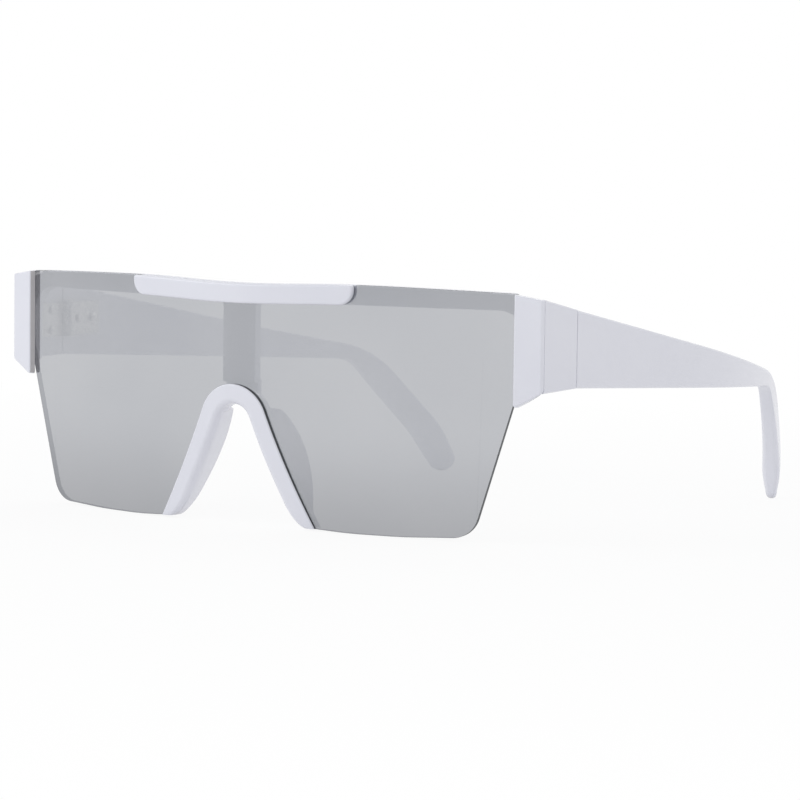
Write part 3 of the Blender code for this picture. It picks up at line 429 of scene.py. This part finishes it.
finish_piece(lens, mirror, "mirror_lens", "front", "shield_lens")
coat_faces(lens, lens_edge_and_painted_shade, lambda face: abs(face.normal.y) < 0.8)
coat_faces(lens, lens_back, lambda face: face.normal.y >= 0.8)

# Rear frame: one white moulding behind the lens. A bar runs along its top, a short bar stands in
# the middle with a thin foot for the nose piece, and at each end a plate turns into the lug.
REAR_FACE, REAR_BACK, FOOT_FACE, FOOT_THICKNESS = 0.0016, 0.0040, 0.0030, 0.0014
CAP_DROP, FOLD_LOW_Z, LUG_END_Y, HINGE_Y = 0.0011, -0.0207, 0.0251, 0.0252
PLATE_SIDE_X, WINDOW_SIDE_X, WINDOW_TOP_Z = 0.0718, 0.0675, -0.0037
CENTRE_HALF_WIDTH, CENTRE_LOW_Z, FOOT_LOW_Z, FOOT_TOP_Z = 0.0044, -0.0217, -0.0260, -0.0207
LUG_WALL_X, INNER_START_X, INNER_END_X, INNER_FRONT_X = 0.0698, 0.0688, 0.0705, 0.0693
WEB_START_X, WEB_END_X, WEB_MIDDLE_X = 0.0640, 0.0700, 0.0680
WEB_THICKNESS, WEB_TOP_Z = 0.0030, -0.008
WEB_SLOPE_PLACE, WEB_SLOPE_WAY = (0.0699, 0, -0.0082), (-0.04395, 0, 0.0131)
JOINT_PROUD, ROUGH_LOW, ROUGH_TOP, ROUGH_BACK = 0.0008, -0.03, 0.01, 0.03
PLATE_STEP_Z, PLATE_SIDE_Z, FRAME_EDGE_RADIUS, FRAME_STRIPS = -0.0008, -0.0024, 0.0003, 59
WINDOW_LOW_RADIUS, WINDOW_TOP_RADIUS, CENTRE_RADIUS = 0.0006, 0.007, 0.0015
LUG_TOP_FALL, LUG_LOW_RISE, LUG_EDGE_RADIUS, INNER_SINK = 0.0025, 0.0003, 0.0004, 0.0002
FOLD_Y, SHIFT, NEAR = front_y(HALF_WIDTH), 0.00002, 0.0001


def polished_white():
    """Polished white moulding: a cool white with faint flow marks and a hardly visible waviness
    from the mould, and a fine satin of handling marks in its gloss."""
    made, tree, place, flow, _ = mottled(
        "white_moulding", 42, ((0.775, 0.777, 0.838), (0.800, 0.800, 0.858)), (0.3, 0.7),
        bump=(0.02, 0.0004), IOR=1.49)
    flow.inputs["Detail"].default_value = 3.0
    flow.inputs["Distortion"].default_value = 0.6
    marks = tree.nodes.new("ShaderNodeTexNoise")
    marks.inputs["Scale"].default_value = 160.0
    satin = tree.nodes.new("ShaderNodeMapRange")
    satin.inputs["From Min"].default_value = 0.3
    satin.inputs["From Max"].default_value = 0.7
    satin.inputs["To Min"].default_value = 0.20
    satin.inputs["To Max"].default_value = 0.24
    tree.links.new(place.outputs["Object"], marks.inputs["Vector"])
    tree.links.new(marks.outputs["Fac"], satin.inputs["Value"])
    tree.links.new(satin.outputs["Result"], tree.nodes["Principled BSDF"].inputs["Roughness"])
    return made


def block(name, low, high, planes=()):
    """Solid block, trimmed by planes given as a point and the way out of the block."""
    bpy.ops.object.select_all(action="DESELECT")
    middle = (Vector(low) + Vector(high)) / 2
    bpy.ops.mesh.primitive_cube_add(size=1, location=middle, scale=Vector(high) - Vector(low))
    piece = bpy.context.object
    piece.name = name
    bpy.ops.object.transform_apply(location=True, rotation=True, scale=True)
    bpy.ops.object.mode_set(mode="EDIT")
    for place, way in planes:
        bpy.ops.mesh.select_all(action="SELECT")
        bpy.ops.mesh.bisect(plane_co=place, plane_no=Vector(way).normalized(), use_fill=True,
                            clear_outer=True)
    close_edit()
    return piece


def plate_normal(x):
    """Way out of the front's curve at x."""
    near = 0.0002
    slope = (front_y(x + near) - front_y(x - near)) / (2 * near)
    return Vector((slope, -1, 0)).normalized()


def on_front(x, proud=0.0):
    return Vector((x, front_y(x, proud), 0))


def mirror_over(piece):
    """Turn a left piece into its right one."""
    pick(piece)
    edit_all()
    bpy.ops.transform.mirror(constraint_axis=(True, False, False), center_override=(0, 0, 0))
    bpy.ops.mesh.normals_make_consistent(inside=False)
    close_edit()


def round_edges(piece, width, segments, weigh):
    """Round each sharp edge by its own share of the width, which weigh() gives for its ends."""
    weights = piece.data.attributes.new("bevel_weight_edge", "FLOAT", "EDGE")
    faces = {}
    for face in piece.data.polygons:
        for key in face.edge_keys:
            faces.setdefault(key, []).append(face.normal)
    for edge in piece.data.edges:
        sides = faces[edge.key]
        sharp = len(sides) == 2 and sides[0].angle(sides[1], 0) > math.radians(38)
        ends = [piece.data.vertices[v].co for v in edge.vertices]
        weights.data[edge.index].value = weigh(*ends) if sharp else 0
    edges = piece.modifiers.new("edge radius", "BEVEL")
    edges.limit_method = "WEIGHT"
    edges.width = width
    edges.segments = segments
    edges.use_clamp_overlap = False
    apply_modifiers(piece)


def fuse(piece, others):
    """Make one piece of several that are moulded together."""
    pick(piece)
    for other in others:
        other.select_set(True)
    bpy.ops.object.join()


white = polished_white()
plate_half = [flat(x, top_z(x)) for x in top_xs[:-1]]
plate_half += [flat(CAP_INNER_X, PLATE_STEP_Z), flat(PLATE_SIDE_X, PLATE_SIDE_Z)]
plate_half += [flat(PLATE_SIDE_X, FOLD_LOW_Z)]
window_side, window_corner = flat(WINDOW_SIDE_X, FOLD_LOW_Z), flat(WINDOW_SIDE_X, WINDOW_TOP_Z)
centre_corner, centre_low = (flat(CENTRE_HALF_WIDTH, z) for z in (WINDOW_TOP_Z, CENTRE_LOW_Z))
window_low = flat(HALF_WIDTH, FOLD_LOW_Z)
plate_half += arc(window_side, window_low, window_corner, WINDOW_LOW_RADIUS, 4)
plate_half += arc(window_corner, window_side, centre_corner, WINDOW_TOP_RADIUS, 16)
plate_half += arc(centre_corner, window_corner, centre_low, CENTRE_RADIUS, 6) + [centre_low]
rear_frame = blank("rear_frame_moulding", mirrored_loop(plate_half), FRAME_STRIPS)
rear_mould = pressing_mould("rear_mould", -REAR_FACE)
press(rear_frame, rear_mould, REAR_BACK - REAR_FACE, FRAME_EDGE_RADIUS, 3, angle=60)
discard(rear_mould)
foot = block("centre_foot", (-CENTRE_HALF_WIDTH, FOOT_FACE, FOOT_LOW_Z),
             (CENTRE_HALF_WIDTH, FOOT_FACE + FOOT_THICKNESS, FOOT_TOP_Z))
round_edges(foot, FRAME_EDGE_RADIUS, 3, lambda a, b: 1)
joint_point = on_front(HALF_WIDTH, JOINT_PROUD)
joint_way = (joint_point - on_front(INNER_END_X)).normalized()
joint_out = Vector((joint_way.y, -joint_way.x, 0))
top_way = Vector((0, LUG_TOP_FALL, HINGE_Y - FOLD_Y))
low_way = Vector((0, LUG_LOW_RISE, -(LUG_END_Y - FOLD_Y)))


def lug_weight(a, b):
    """Small radius at the joints with the end cap and the temple, none where the two walls
    meet, and a full one elsewhere."""
    if all((p - joint_point).dot(joint_out) > -NEAR / 2 for p in (a, b)):
        return 0.3 if min(a.x, b.x) > HALF_WIDTH - NEAR else 0
    if all(abs(p.x - LUG_WALL_X) < NEAR for p in (a, b)):
        return 0
    return 0.3 if min(a.y, b.y) > LUG_END_Y - NEAR else 1


lugs = []
for side in (1, -1):
    wall = block("lug_wall", (LUG_WALL_X, 0, ROUGH_LOW), (HALF_WIDTH, LUG_END_Y, ROUGH_TOP), [
        (joint_point, joint_out), ((0, FOLD_Y, -CAP_DROP), top_way),
        ((0, FOLD_Y, FOLD_LOW_Z), low_way)])
    round_edges(wall, LUG_EDGE_RADIUS, 3, lug_weight)
    inner = block("lug_inner_wall", (INNER_START_X, 0, ROUGH_LOW),
                  (INNER_END_X, LUG_END_Y - SHIFT, ROUGH_TOP), [
        (on_front(INNER_FRONT_X, -REAR_FACE - INNER_SINK), plate_normal(INNER_FRONT_X)),
        ((0, FOLD_Y, -CAP_DROP - SHIFT), top_way), ((0, FOLD_Y, FOLD_LOW_Z + SHIFT), low_way)])
    round_edges(inner, FRAME_EDGE_RADIUS, 3,
                lambda a, b: 1 if max(a.x, b.x) < LUG_WALL_X else 0)
    web_way = plate_normal(WEB_MIDDLE_X)
    web = block("lug_web", (WEB_START_X, 0, FOLD_LOW_Z + SHIFT),
                (WEB_END_X, ROUGH_BACK, WEB_TOP_Z), [
        (on_front(WEB_MIDDLE_X), web_way), (on_front(WEB_MIDDLE_X, -WEB_THICKNESS), -web_way),
        (WEB_SLOPE_PLACE, WEB_SLOPE_WAY)])
    if side < 0:
        for part in (wall, inner, web):
            mirror_over(part)
    lugs += [wall, inner, web]
fuse(rear_frame, [foot, *lugs])
settle(rear_frame)
finish_piece(rear_frame, white, "white_moulding", "front", "rear_frame")

# Brow bar: white trim moulding across the top of the lens, held by two studs that pass through
# it. Its front edges are rolled over and its lower corners are rounded off.
BROW_HALF_WIDTH, BROW_HEIGHT, BROW_CORNER, BROW_STEPS = 0.0296, 0.0043, 0.0034, 24
BROW_TOP_RADIUS, BROW_LOW_RADIUS, BROW_EDGE_RADIUS, BROW_STRIPS = 0.0006, 0.0032, 0.0005, 21
TRIM_PROUD = 0.0016
brow_xs = [BROW_HALF_WIDTH * i / BROW_STEPS for i in range(BROW_STEPS)]
brow_top = [flat(x, top_z(x)) for x in brow_xs]
brow_low = [flat(p.x, p.z - BROW_HEIGHT) for p in reversed(brow_top)
            if p.x < BROW_HALF_WIDTH - BROW_CORNER]
brow_end = flat(BROW_HALF_WIDTH, top_z(BROW_HALF_WIDTH))
brow_foot = flat(BROW_HALF_WIDTH, brow_end.z - BROW_HEIGHT)
brow_half = brow_top[:-1] + arc(brow_end, brow_top[-2], brow_foot, BROW_TOP_RADIUS, 4)
brow_half += arc(brow_foot, brow_end, brow_low[0], BROW_LOW_RADIUS, 12) + brow_low
brow_bar = blank("brow_bar_trim", mirrored_loop(brow_half), BROW_STRIPS)
trim_mould = pressing_mould("trim_mould", TRIM_PROUD)
press(brow_bar, trim_mould, TRIM_PROUD - SHIFT, BROW_EDGE_RADIUS, 4)
discard(trim_mould)
settle(brow_bar)
finish_piece(brow_bar, white, "white_moulding", "front", "brow_bar")

# End caps: flat white plates over the lens's upper corners, moulded with a long soft fold that
# meets the lug, and each held by a stud through the lens. The wall that stands on the lens is
# given a dull grey as painted shade, so that it reads as a shadowed gap.
CAP_MIDDLE_X, CAP_LOW_Z, CAP_SPLIT, CAP_START_X = 0.0687, -0.0243, 0.0011, 0.060
CAP_TOP_WAY, CAP_LOW_WAY, CAP_FOLD_RADIUS = (0.0011, 0, 0.0066), (0.0036, 0, -0.0066), 0.0010
CAP_BACK_GAP, CAP_JOINT_GAP = 0.00004, 0.00003
face_out = plate_normal(CAP_MIDDLE_X)
wall_out = Vector((face_out.y, -face_out.x, 0))
back_point = on_front(CAP_MIDDLE_X, CAP_BACK_GAP)
cap_wall_painted_shade = mottled("cap_wall_painted_shade_grey", 900, ((0.56, 0.54, 0.545), (0.60, 0.58, 0.585)), **DULL)[0]


def cap_weight(a, b):
    """A soft fold, small radii round the face and next to none at the joint."""
    depths = [(p - back_point).dot(face_out) for p in (a, b)]
    at_side = min(a.x, b.x) > HALF_WIDTH - NEAR
    if at_side and min(depths) > CAP_SPLIT:
        return 0.6
    if max(depths) - min(depths) > 3 * NEAR:
        return 1.0 if max(a.z, b.z) < FOLD_LOW_Z + 7 * NEAR else 0.3
    if max(depths) < CAP_SPLIT:
        return 0.12 if at_side else 0
    return 0.4


for word, side in (("left", 1), ("right", -1)):
    cap = block(f"end_cap_{word}_plate", (CAP_START_X, 0, ROUGH_LOW),
                (HALF_WIDTH, ROUGH_BACK, ROUGH_TOP), [
        (on_front(CAP_MIDDLE_X, TRIM_PROUD), face_out), (back_point, -face_out),
        (joint_point + joint_out * CAP_JOINT_GAP, -joint_out),
        (on_front(CAP_INNER_X), wall_out), ((CAP_INNER_X, 0, 0), CAP_TOP_WAY),
        ((CAP_INNER_X, 0, CAP_LOW_Z), CAP_LOW_WAY)])
    round_edges(cap, CAP_FOLD_RADIUS, 5, cap_weight)
    if side < 0:
        mirror_over(cap)
    settle(cap)
    finish_piece(cap, white, "white_moulding", "front", f"end_cap_{word}")
    # Painted shade: the inner wall against the lens gets a grey material of its own.
    coat_faces(cap, cap_wall_painted_shade, lambda face: face.normal.x * side < -0.8)

# Nose piece: one white moulding round the nose cut-out, screwed to the foot of the centre bar. A
# groove in its section holds the lens's edge, and two pads swell out of it to the back. It is
# drawn ring by ring along the arch. Its outer wall is given the dark of the lens's edge as painted
# shade.
NOSE_BACK, NOSE_PROUD, NOSE_RIM, NOSE_ROLL, WALL_INSET = 0.0028, 0.0009, 0.00035, 0.0014, 0.00045
GROOVE_FRONT, LEG_SINK, FLAT_WALL, LEAST_FLAT, PAD_BASE = -0.00004, 0.0002, 0.0006, 0.0008, 0.0001
PAD_REACH, PAD_FLARE, PAD_WALL, PAD_START, PAD_ROLL = 0.0072, 0.0026, 0.0015, 0.8, 0.0006


def nose_section(way):
    """Closed section across the arch as (inset from the outer edge, depth behind the lens)."""
    run = (abs(way) - PAD_START) / (2 - PAD_START)
    swell = math.sin(math.pi * run ** 0.8) ** 0.8 if 0 < run < 1 else 0
    depth = NOSE_BACK + PAD_BASE + PAD_REACH * swell
    soft = min(PAD_ROLL, (depth - NOSE_BACK) / 3)
    width = NOSE_TRIM_WIDTH - foot_round(way)
    inner = width - PAD_FLARE * swell
    groove = NOSE_GROOVE - foot_round(way)
    front = LEG_SINK * max(abs(way) - 1, 0) ** 2 - NOSE_PROUD
    radius = min(NOSE_ROLL, width - LEAST_FLAT)
    turns = [math.radians(90) * i / 5 for i in range(6)]
    rise = [1 - math.sin(t) for t in turns]
    fall = [1 - math.cos(t) for t in turns]
    section = [(0, GROOVE_FRONT), (0, front + NOSE_RIM)]
    section += [(NOSE_RIM * f, front + NOSE_RIM * r) for r, f in zip(rise[1:], fall[1:])]
    section += [(width - radius * r, front + radius * f) for r, f in zip(rise, fall)]
    section += [(width, FLAT_WALL), (width, REAR_FACE)]
    section += [((width + inner) / 2, (REAR_FACE + depth - soft) / 2)]
    section += [(inner - soft * f, depth - soft * r) for r, f in zip(rise, fall)]
    section += [(inner - PAD_WALL + soft * r, depth - soft * f)
                for r, f in zip(rise[:-1], fall[:-1])]
    section += [(inner - PAD_WALL, depth - soft), (width - PAD_WALL, NOSE_BACK)]
    section += [(WALL_INSET, NOSE_BACK), (WALL_INSET, REAR_FACE)]
    return section + [(groove, REAR_FACE), (groove, GROOVE_FRONT)]


def ring_solid(name, rings):
    """Closed solid through rings of points, with a face across each end."""
    count, last = len(rings[0]), len(rings) - 1
    faces = [(r * count + i, r * count + (i + 1) % count, (r + 1) * count + (i + 1) % count,
              (r + 1) * count + i) for r in range(last) for i in range(count)]
    faces += [tuple(range(count)), tuple(range(last * count, len(rings) * count))]
    mesh = bpy.data.meshes.new(name)
    mesh.from_pydata([place for ring in rings for place in ring], [], faces)
    piece = bpy.data.objects.new(name, mesh)
    scene.collection.objects.link(piece)
    pick(piece)
    edit_all()
    bpy.ops.mesh.normals_make_consistent(inside=False)
    close_edit()
    return piece


half_ways = [i / 30 for i in range(31)] + [1 + i / 60 for i in range(1, 49)]
half_ways += [2 - 0.2 * (1 - i / 24) ** 2 for i in range(1, 25)]
nose_rings = []
for way in [-way for way in reversed(half_ways[1:])] + half_ways:
    section = [(*nose_edge(way, inset), depth) for inset, depth in nose_section(way)]
    nose_rings.append([(x, front_y(x, -depth), z) for x, z, depth in section])
nose_piece = ring_solid("nose_piece_moulding", nose_rings)
settle(nose_piece)
finish_piece(nose_piece, white, "white_moulding", "front", "nose_piece")
around, swept = len(nose_rings[0]), len(nose_rings[0]) * (len(nose_rings) - 1)
# Painted shade: the outer wall and the face against the lens get the dark edge material.
coat_faces(nose_piece, lens_edge_and_painted_shade,
           lambda face: face.index < swept and face.index % around in (0, around - 1))

# Temples: flat white moulded arms with polished faces and rolled edges, riveted to the hinges.
# Each is straight at first, then bows inwards and bends down behind the ear, where it grows
# thicker and rounder. It is drawn ring by ring from the hinge to the narrowed tip.
SPLIT_Y, STRAIGHT, TOE_IN, BOW_RADIUS = 0.0253, 0.055, math.radians(1.6), 0.192
BEND_LOW, BEND_TOP = Vector((0.1319, -0.026992)), Vector((0.13762, -0.024352))
KNEE_LOW, KNEE_TOP = Vector((0.150675, -0.047481)), Vector((0.155543, -0.043912))
TIP_LOW, TIP_TOP = Vector((0.155507, -0.05585)), Vector((0.160703, -0.05285))
EAR_FALL, SWELL_SHARE, TIP_DROP = 0.028858, 0.8, math.radians(60)
ARM_THICKNESS, EAR_THICKER, ARM_EDGE, EAR_ROUNDER = 0.0032, 0.0013, 0.0007, 0.0008
ROUND_SHARE, TAPER, TAPER_LENGTH, TIP_NARROWING = 0.42, 0.0008, 0.007, 0.0012
TIP_LENGTH, TIP_HALF_HEIGHT, TIP_STEPS = 0.00298, 0.003, 14
BEND_TOP_RADIUS, BEND_LOW_RADIUS, KNEE_RADIUS = 0.028, 0.009, 0.030
ARM_TOP_Z, ARM_LOW_Z, CHAMFER = -0.0036, -0.0204, 0.0001


def temple_x(y, inset=0.0):
    """X of the temple's outer face, or of what is inset from it: toed in, then on a wide bow."""
    centre_x = HALF_WIDTH - STRAIGHT * math.tan(TOE_IN) - BOW_RADIUS * math.cos(TOE_IN)
    centre_y = HINGE_Y + STRAIGHT - BOW_RADIUS * math.sin(TOE_IN)
    radius = BOW_RADIUS - inset
    if y < centre_y + radius * math.sin(TOE_IN):
        return HALF_WIDTH - inset / math.cos(TOE_IN) - (y - HINGE_Y) * math.tan(TOE_IN)
    return centre_x + math.sqrt(radius ** 2 - (y - centre_y) ** 2)


def side_path(start, bends, end):
    """Evenly stepped line of the side view through two rounded bends."""
    places = [start]
    targets = [corner for corner, _ in bends[1:]] + [end]
    for (corner, radius), target, steps in zip(bends, targets, (60, 8)):
        turn = [p.xy for p in arc(corner.to_3d(), places[-1].to_3d(), target.to_3d(), radius, 18)]
        places += [places[-1].lerp(turn[0], i / steps) for i in range(1, steps)] + turn
    return places + [places[-1].lerp(end, i / 8) for i in range(1, 9)]


def temple_ring(low, top, narrowed, swell):
    """Rounded section between two points of the side view. The swell runs from 0 on the flat
    arm to 1 at the ear end, which is thicker and rounder."""
    up = top - low
    thickness = ARM_THICKNESS + EAR_THICKER * swell
    radius = min(ARM_EDGE + EAR_ROUNDER * swell, up.length * ROUND_SHARE,
                 (thickness - 2 * narrowed) * ROUND_SHARE)
    margin = radius + narrowed
    corners = [(up.length - radius, margin), (up.length - radius, thickness - margin),
               (radius, thickness - margin), (radius, margin)]
    ring = []
    for quarter, (rise, inset) in enumerate(corners):
        for step in range(7):
            turn = math.radians(90) * (quarter + step / 6)
            place = low + up.normalized() * (rise + radius * math.sin(turn))
            ring.append((temple_x(place.x, inset - radius * math.cos(turn)), place.x, place.y))
    return ring


front_top, front_low = Vector((SPLIT_Y, ARM_TOP_Z)), Vector((SPLIT_Y, ARM_LOW_Z))
tops = side_path(front_top, [(BEND_TOP, BEND_TOP_RADIUS), (KNEE_TOP, KNEE_RADIUS)], TIP_TOP)
lows = side_path(front_low, [(BEND_LOW, BEND_LOW_RADIUS), (KNEE_LOW, KNEE_RADIUS)], TIP_LOW)
edge = Vector((0, CHAMFER))
temple_rings = [temple_ring(front_low + edge, front_top - edge, CHAMFER, 0)]
lows[0], tops[0] = (place + Vector((CHAMFER, 0)) for place in (lows[0], tops[0]))
for low, top in zip(lows, tops):
    down = max(BEND_LOW.y - low.y, 0) / (EAR_FALL * SWELL_SHARE)
    taper = TAPER * max(1 - (low - TIP_LOW).length / TAPER_LENGTH, 0) ** 2
    temple_rings.append(temple_ring(low, top, taper, min(down, 1)))
tip_on = Vector((math.cos(TIP_DROP), -math.sin(TIP_DROP)))
tip_up = Vector((math.sin(TIP_DROP), math.cos(TIP_DROP)))
for step in range(1, TIP_STEPS + 1):
    turn = math.radians(90) * step / (TIP_STEPS + 0.6)
    middle = (TIP_LOW + TIP_TOP) / 2 + tip_on * (TIP_LENGTH * math.sin(turn))
    arm = tip_up * (TIP_HALF_HEIGHT * math.cos(turn))
    narrowed = TAPER + TIP_NARROWING * (1 - math.cos(turn))
    temple_rings.append(temple_ring(middle - arm, middle + arm, narrowed, 1))
for word, side in (("left", 1), ("right", -1)):
    rings = [[(side * x, y, z) for x, y, z in ring] for ring in temple_rings]
    temple = ring_solid(f"temple_{word}_arm", rings)
    settle(temple)
    finish_piece(temple, white, "white_moulding", f"{word}_temple", f"temple_{word}")

# Hinges: a nickel plated leaf on each lug and one on each temple, stamped from sheet and rolled
# into knuckles that turn on a slotted screw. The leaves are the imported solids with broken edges.
LEAF_EDGE_RADIUS, MERGE_WITHIN, FLAT_WITHIN = 0.00008, 0.000005, math.radians(0.4)
nickel, _, _, nickel_grain, _ = mottled(
    "nickel_plate", 700, ((0.52, 0.515, 0.50), (0.64, 0.635, 0.615)), gloss=(0.20, 0.38),
    bump=(0.05, 0.0001), Metallic=1.0)
nickel_grain.inputs["Detail"].default_value = 3.0


def rounded_copy(node, name, width):
    """Copy of a CAD node, merged into clean faces, with its edges rounded."""
    piece = bpy.data.objects.new(name, nodes[node].data.copy())
    scene.collection.objects.link(piece)
    pick(piece)
    edit_all()
    bpy.ops.mesh.remove_doubles(threshold=MERGE_WITHIN)
    bpy.ops.mesh.dissolve_limited(angle_limit=FLAT_WITHIN)
    bpy.ops.mesh.normals_make_consistent(inside=False)
    close_edit()
    edges = piece.modifiers.new("edge radius", "BEVEL")
    edges.limit_method = "ANGLE"
    edges.angle_limit = math.radians(40)
    edges.width = width
    edges.segments = 2
    edges.use_clamp_overlap = True
    apply_modifiers(piece)
    return piece


for word in ("left", "right"):
    for part, body in (("front_leaf", "front"), ("temple_leaf", f"{word}_temple")):
        node = f"hinge_{part}_{word}"
        leaf = rounded_copy(node, f"{node}_plate", LEAF_EDGE_RADIUS)
        finish_piece(leaf, nickel, "plated_steel", body, node)

# Fasteners: domed rivet heads on the leaves, slotted screws in the hinges, and cross-recess
# screws that hold the trims from behind. Each kind is made once and copied to its places.
HINGE_X, HINGE_HEAD_Z, RIVET_SEAT = 0.0671, -0.0080, 0.00045
SCREW_SEAT, NOSE_SCREW_PLACE = 0.00418, (0, 0.00458, -0.0243)
BROW_STUD, CAP_STUD = (0.022, -0.0016), (0.0672, -0.0048)


def upright_cylinder(name, vertices, radius, low, high):
    bpy.ops.object.select_all(action="DESELECT")
    bpy.ops.mesh.primitive_cylinder_add(vertices=vertices, radius=radius, depth=high - low,
                                        location=(0, 0, (low + high) / 2))
    piece = bpy.context.object
    piece.name = name
    bpy.ops.object.transform_apply(location=True, rotation=True, scale=True)
    return piece


def fastener(name, radius, height, rim, shank_radius, shank, slots=(), depth=0.0):
    """Fastener whose head stands on Z 0, with a rounded rim, narrow slots pressed into its top
    where they are given, and a shank that goes down from it."""
    head = upright_cylinder(name, 32, radius, 0, height)
    round_edges(head, rim, 5, lambda a, b: 1 if min(a.z, b.z) > height * 0.9 else 0)
    for length, width in slots:
        slot = block("slot", (-length / 2, -width / 2, height - depth),
                     (length / 2, width / 2, height * 2))
        step = head.modifiers.new("recess", "BOOLEAN")
        step.operation = "DIFFERENCE"
        step.solver = "EXACT"
        step.object = slot
        apply_modifiers(head)
        discard(slot)
    fuse(head, [upright_cylinder("shank", 24, shank_radius, -shank, height / 4)])
    return head


def place_copy(master, node, body, matrix):
    piece = bpy.data.objects.new(f"{node}_head", master.data.copy())
    scene.collection.objects.link(piece)
    piece.data.transform(matrix)
    finish_piece(piece, nickel, "plated_steel", body, node)


def facing(place, way):
    return Matrix.Translation(place) @ Vector(way).to_track_quat("Z", "X").to_matrix().to_4x4()


REST = Matrix.Translation(REST_PLACE) @ Matrix.Rotation(REST_TILT, 4, "X")
rivet = fastener("rivet_head", radius=0.0010, height=0.00055, rim=0.00045, shank_radius=0.0006,
                 shank=0.0024)
trim_screw = fastener("trim_screw_head", radius=0.0011, height=0.0006, rim=0.00025,
                      shank_radius=0.0006, shank=0.0030,
                      slots=((0.0013, 0.0003), (0.0003, 0.0013)), depth=0.0003)
pin = fastener("hinge_screw_head", radius=0.0013, height=0.0006, rim=0.00018,
               shank_radius=0.0007, shank=0.0079, slots=((0.003, 0.00032),), depth=0.00028)
for word, side in (("left", 1), ("right", -1)):
    for leaf, ends, body in (("front", ("upper", "lower"), "front"),
                             ("temple", ("front", "rear"), f"{word}_temple")):
        for end in ends:
            node = f"hinge_{leaf}_rivet_{word}_{end}"
            low, high = (Vector(corner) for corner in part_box(node))
            seat = (low + high) / 2
            seat.x = low.x + RIVET_SEAT if side > 0 else high.x - RIVET_SEAT
            place_copy(rivet, node, body, facing(seat, (-side, 0, 0)))
    hinge_head = (side * HINGE_X, HINGE_Y, HINGE_HEAD_Z)
    place_copy(pin, f"hinge_screw_{word}", "front", REST @ facing(hinge_head, (0, 0, 1)))
    for node, x, z in (("brow_screw", *BROW_STUD), ("end_cap_screw", *CAP_STUD)):
        out = plate_normal(side * x)
        seat = on_front(side * x) + Vector((0, 0, z)) - out * SCREW_SEAT
        place_copy(trim_screw, f"{node}_{word}", "front", REST @ facing(seat, -out))
place_copy(trim_screw, "nose_screw", "front", REST @ facing(NOSE_SCREW_PLACE, (0, 1, 0)))
for master in (rivet, trim_screw, pin):
    discard(master)
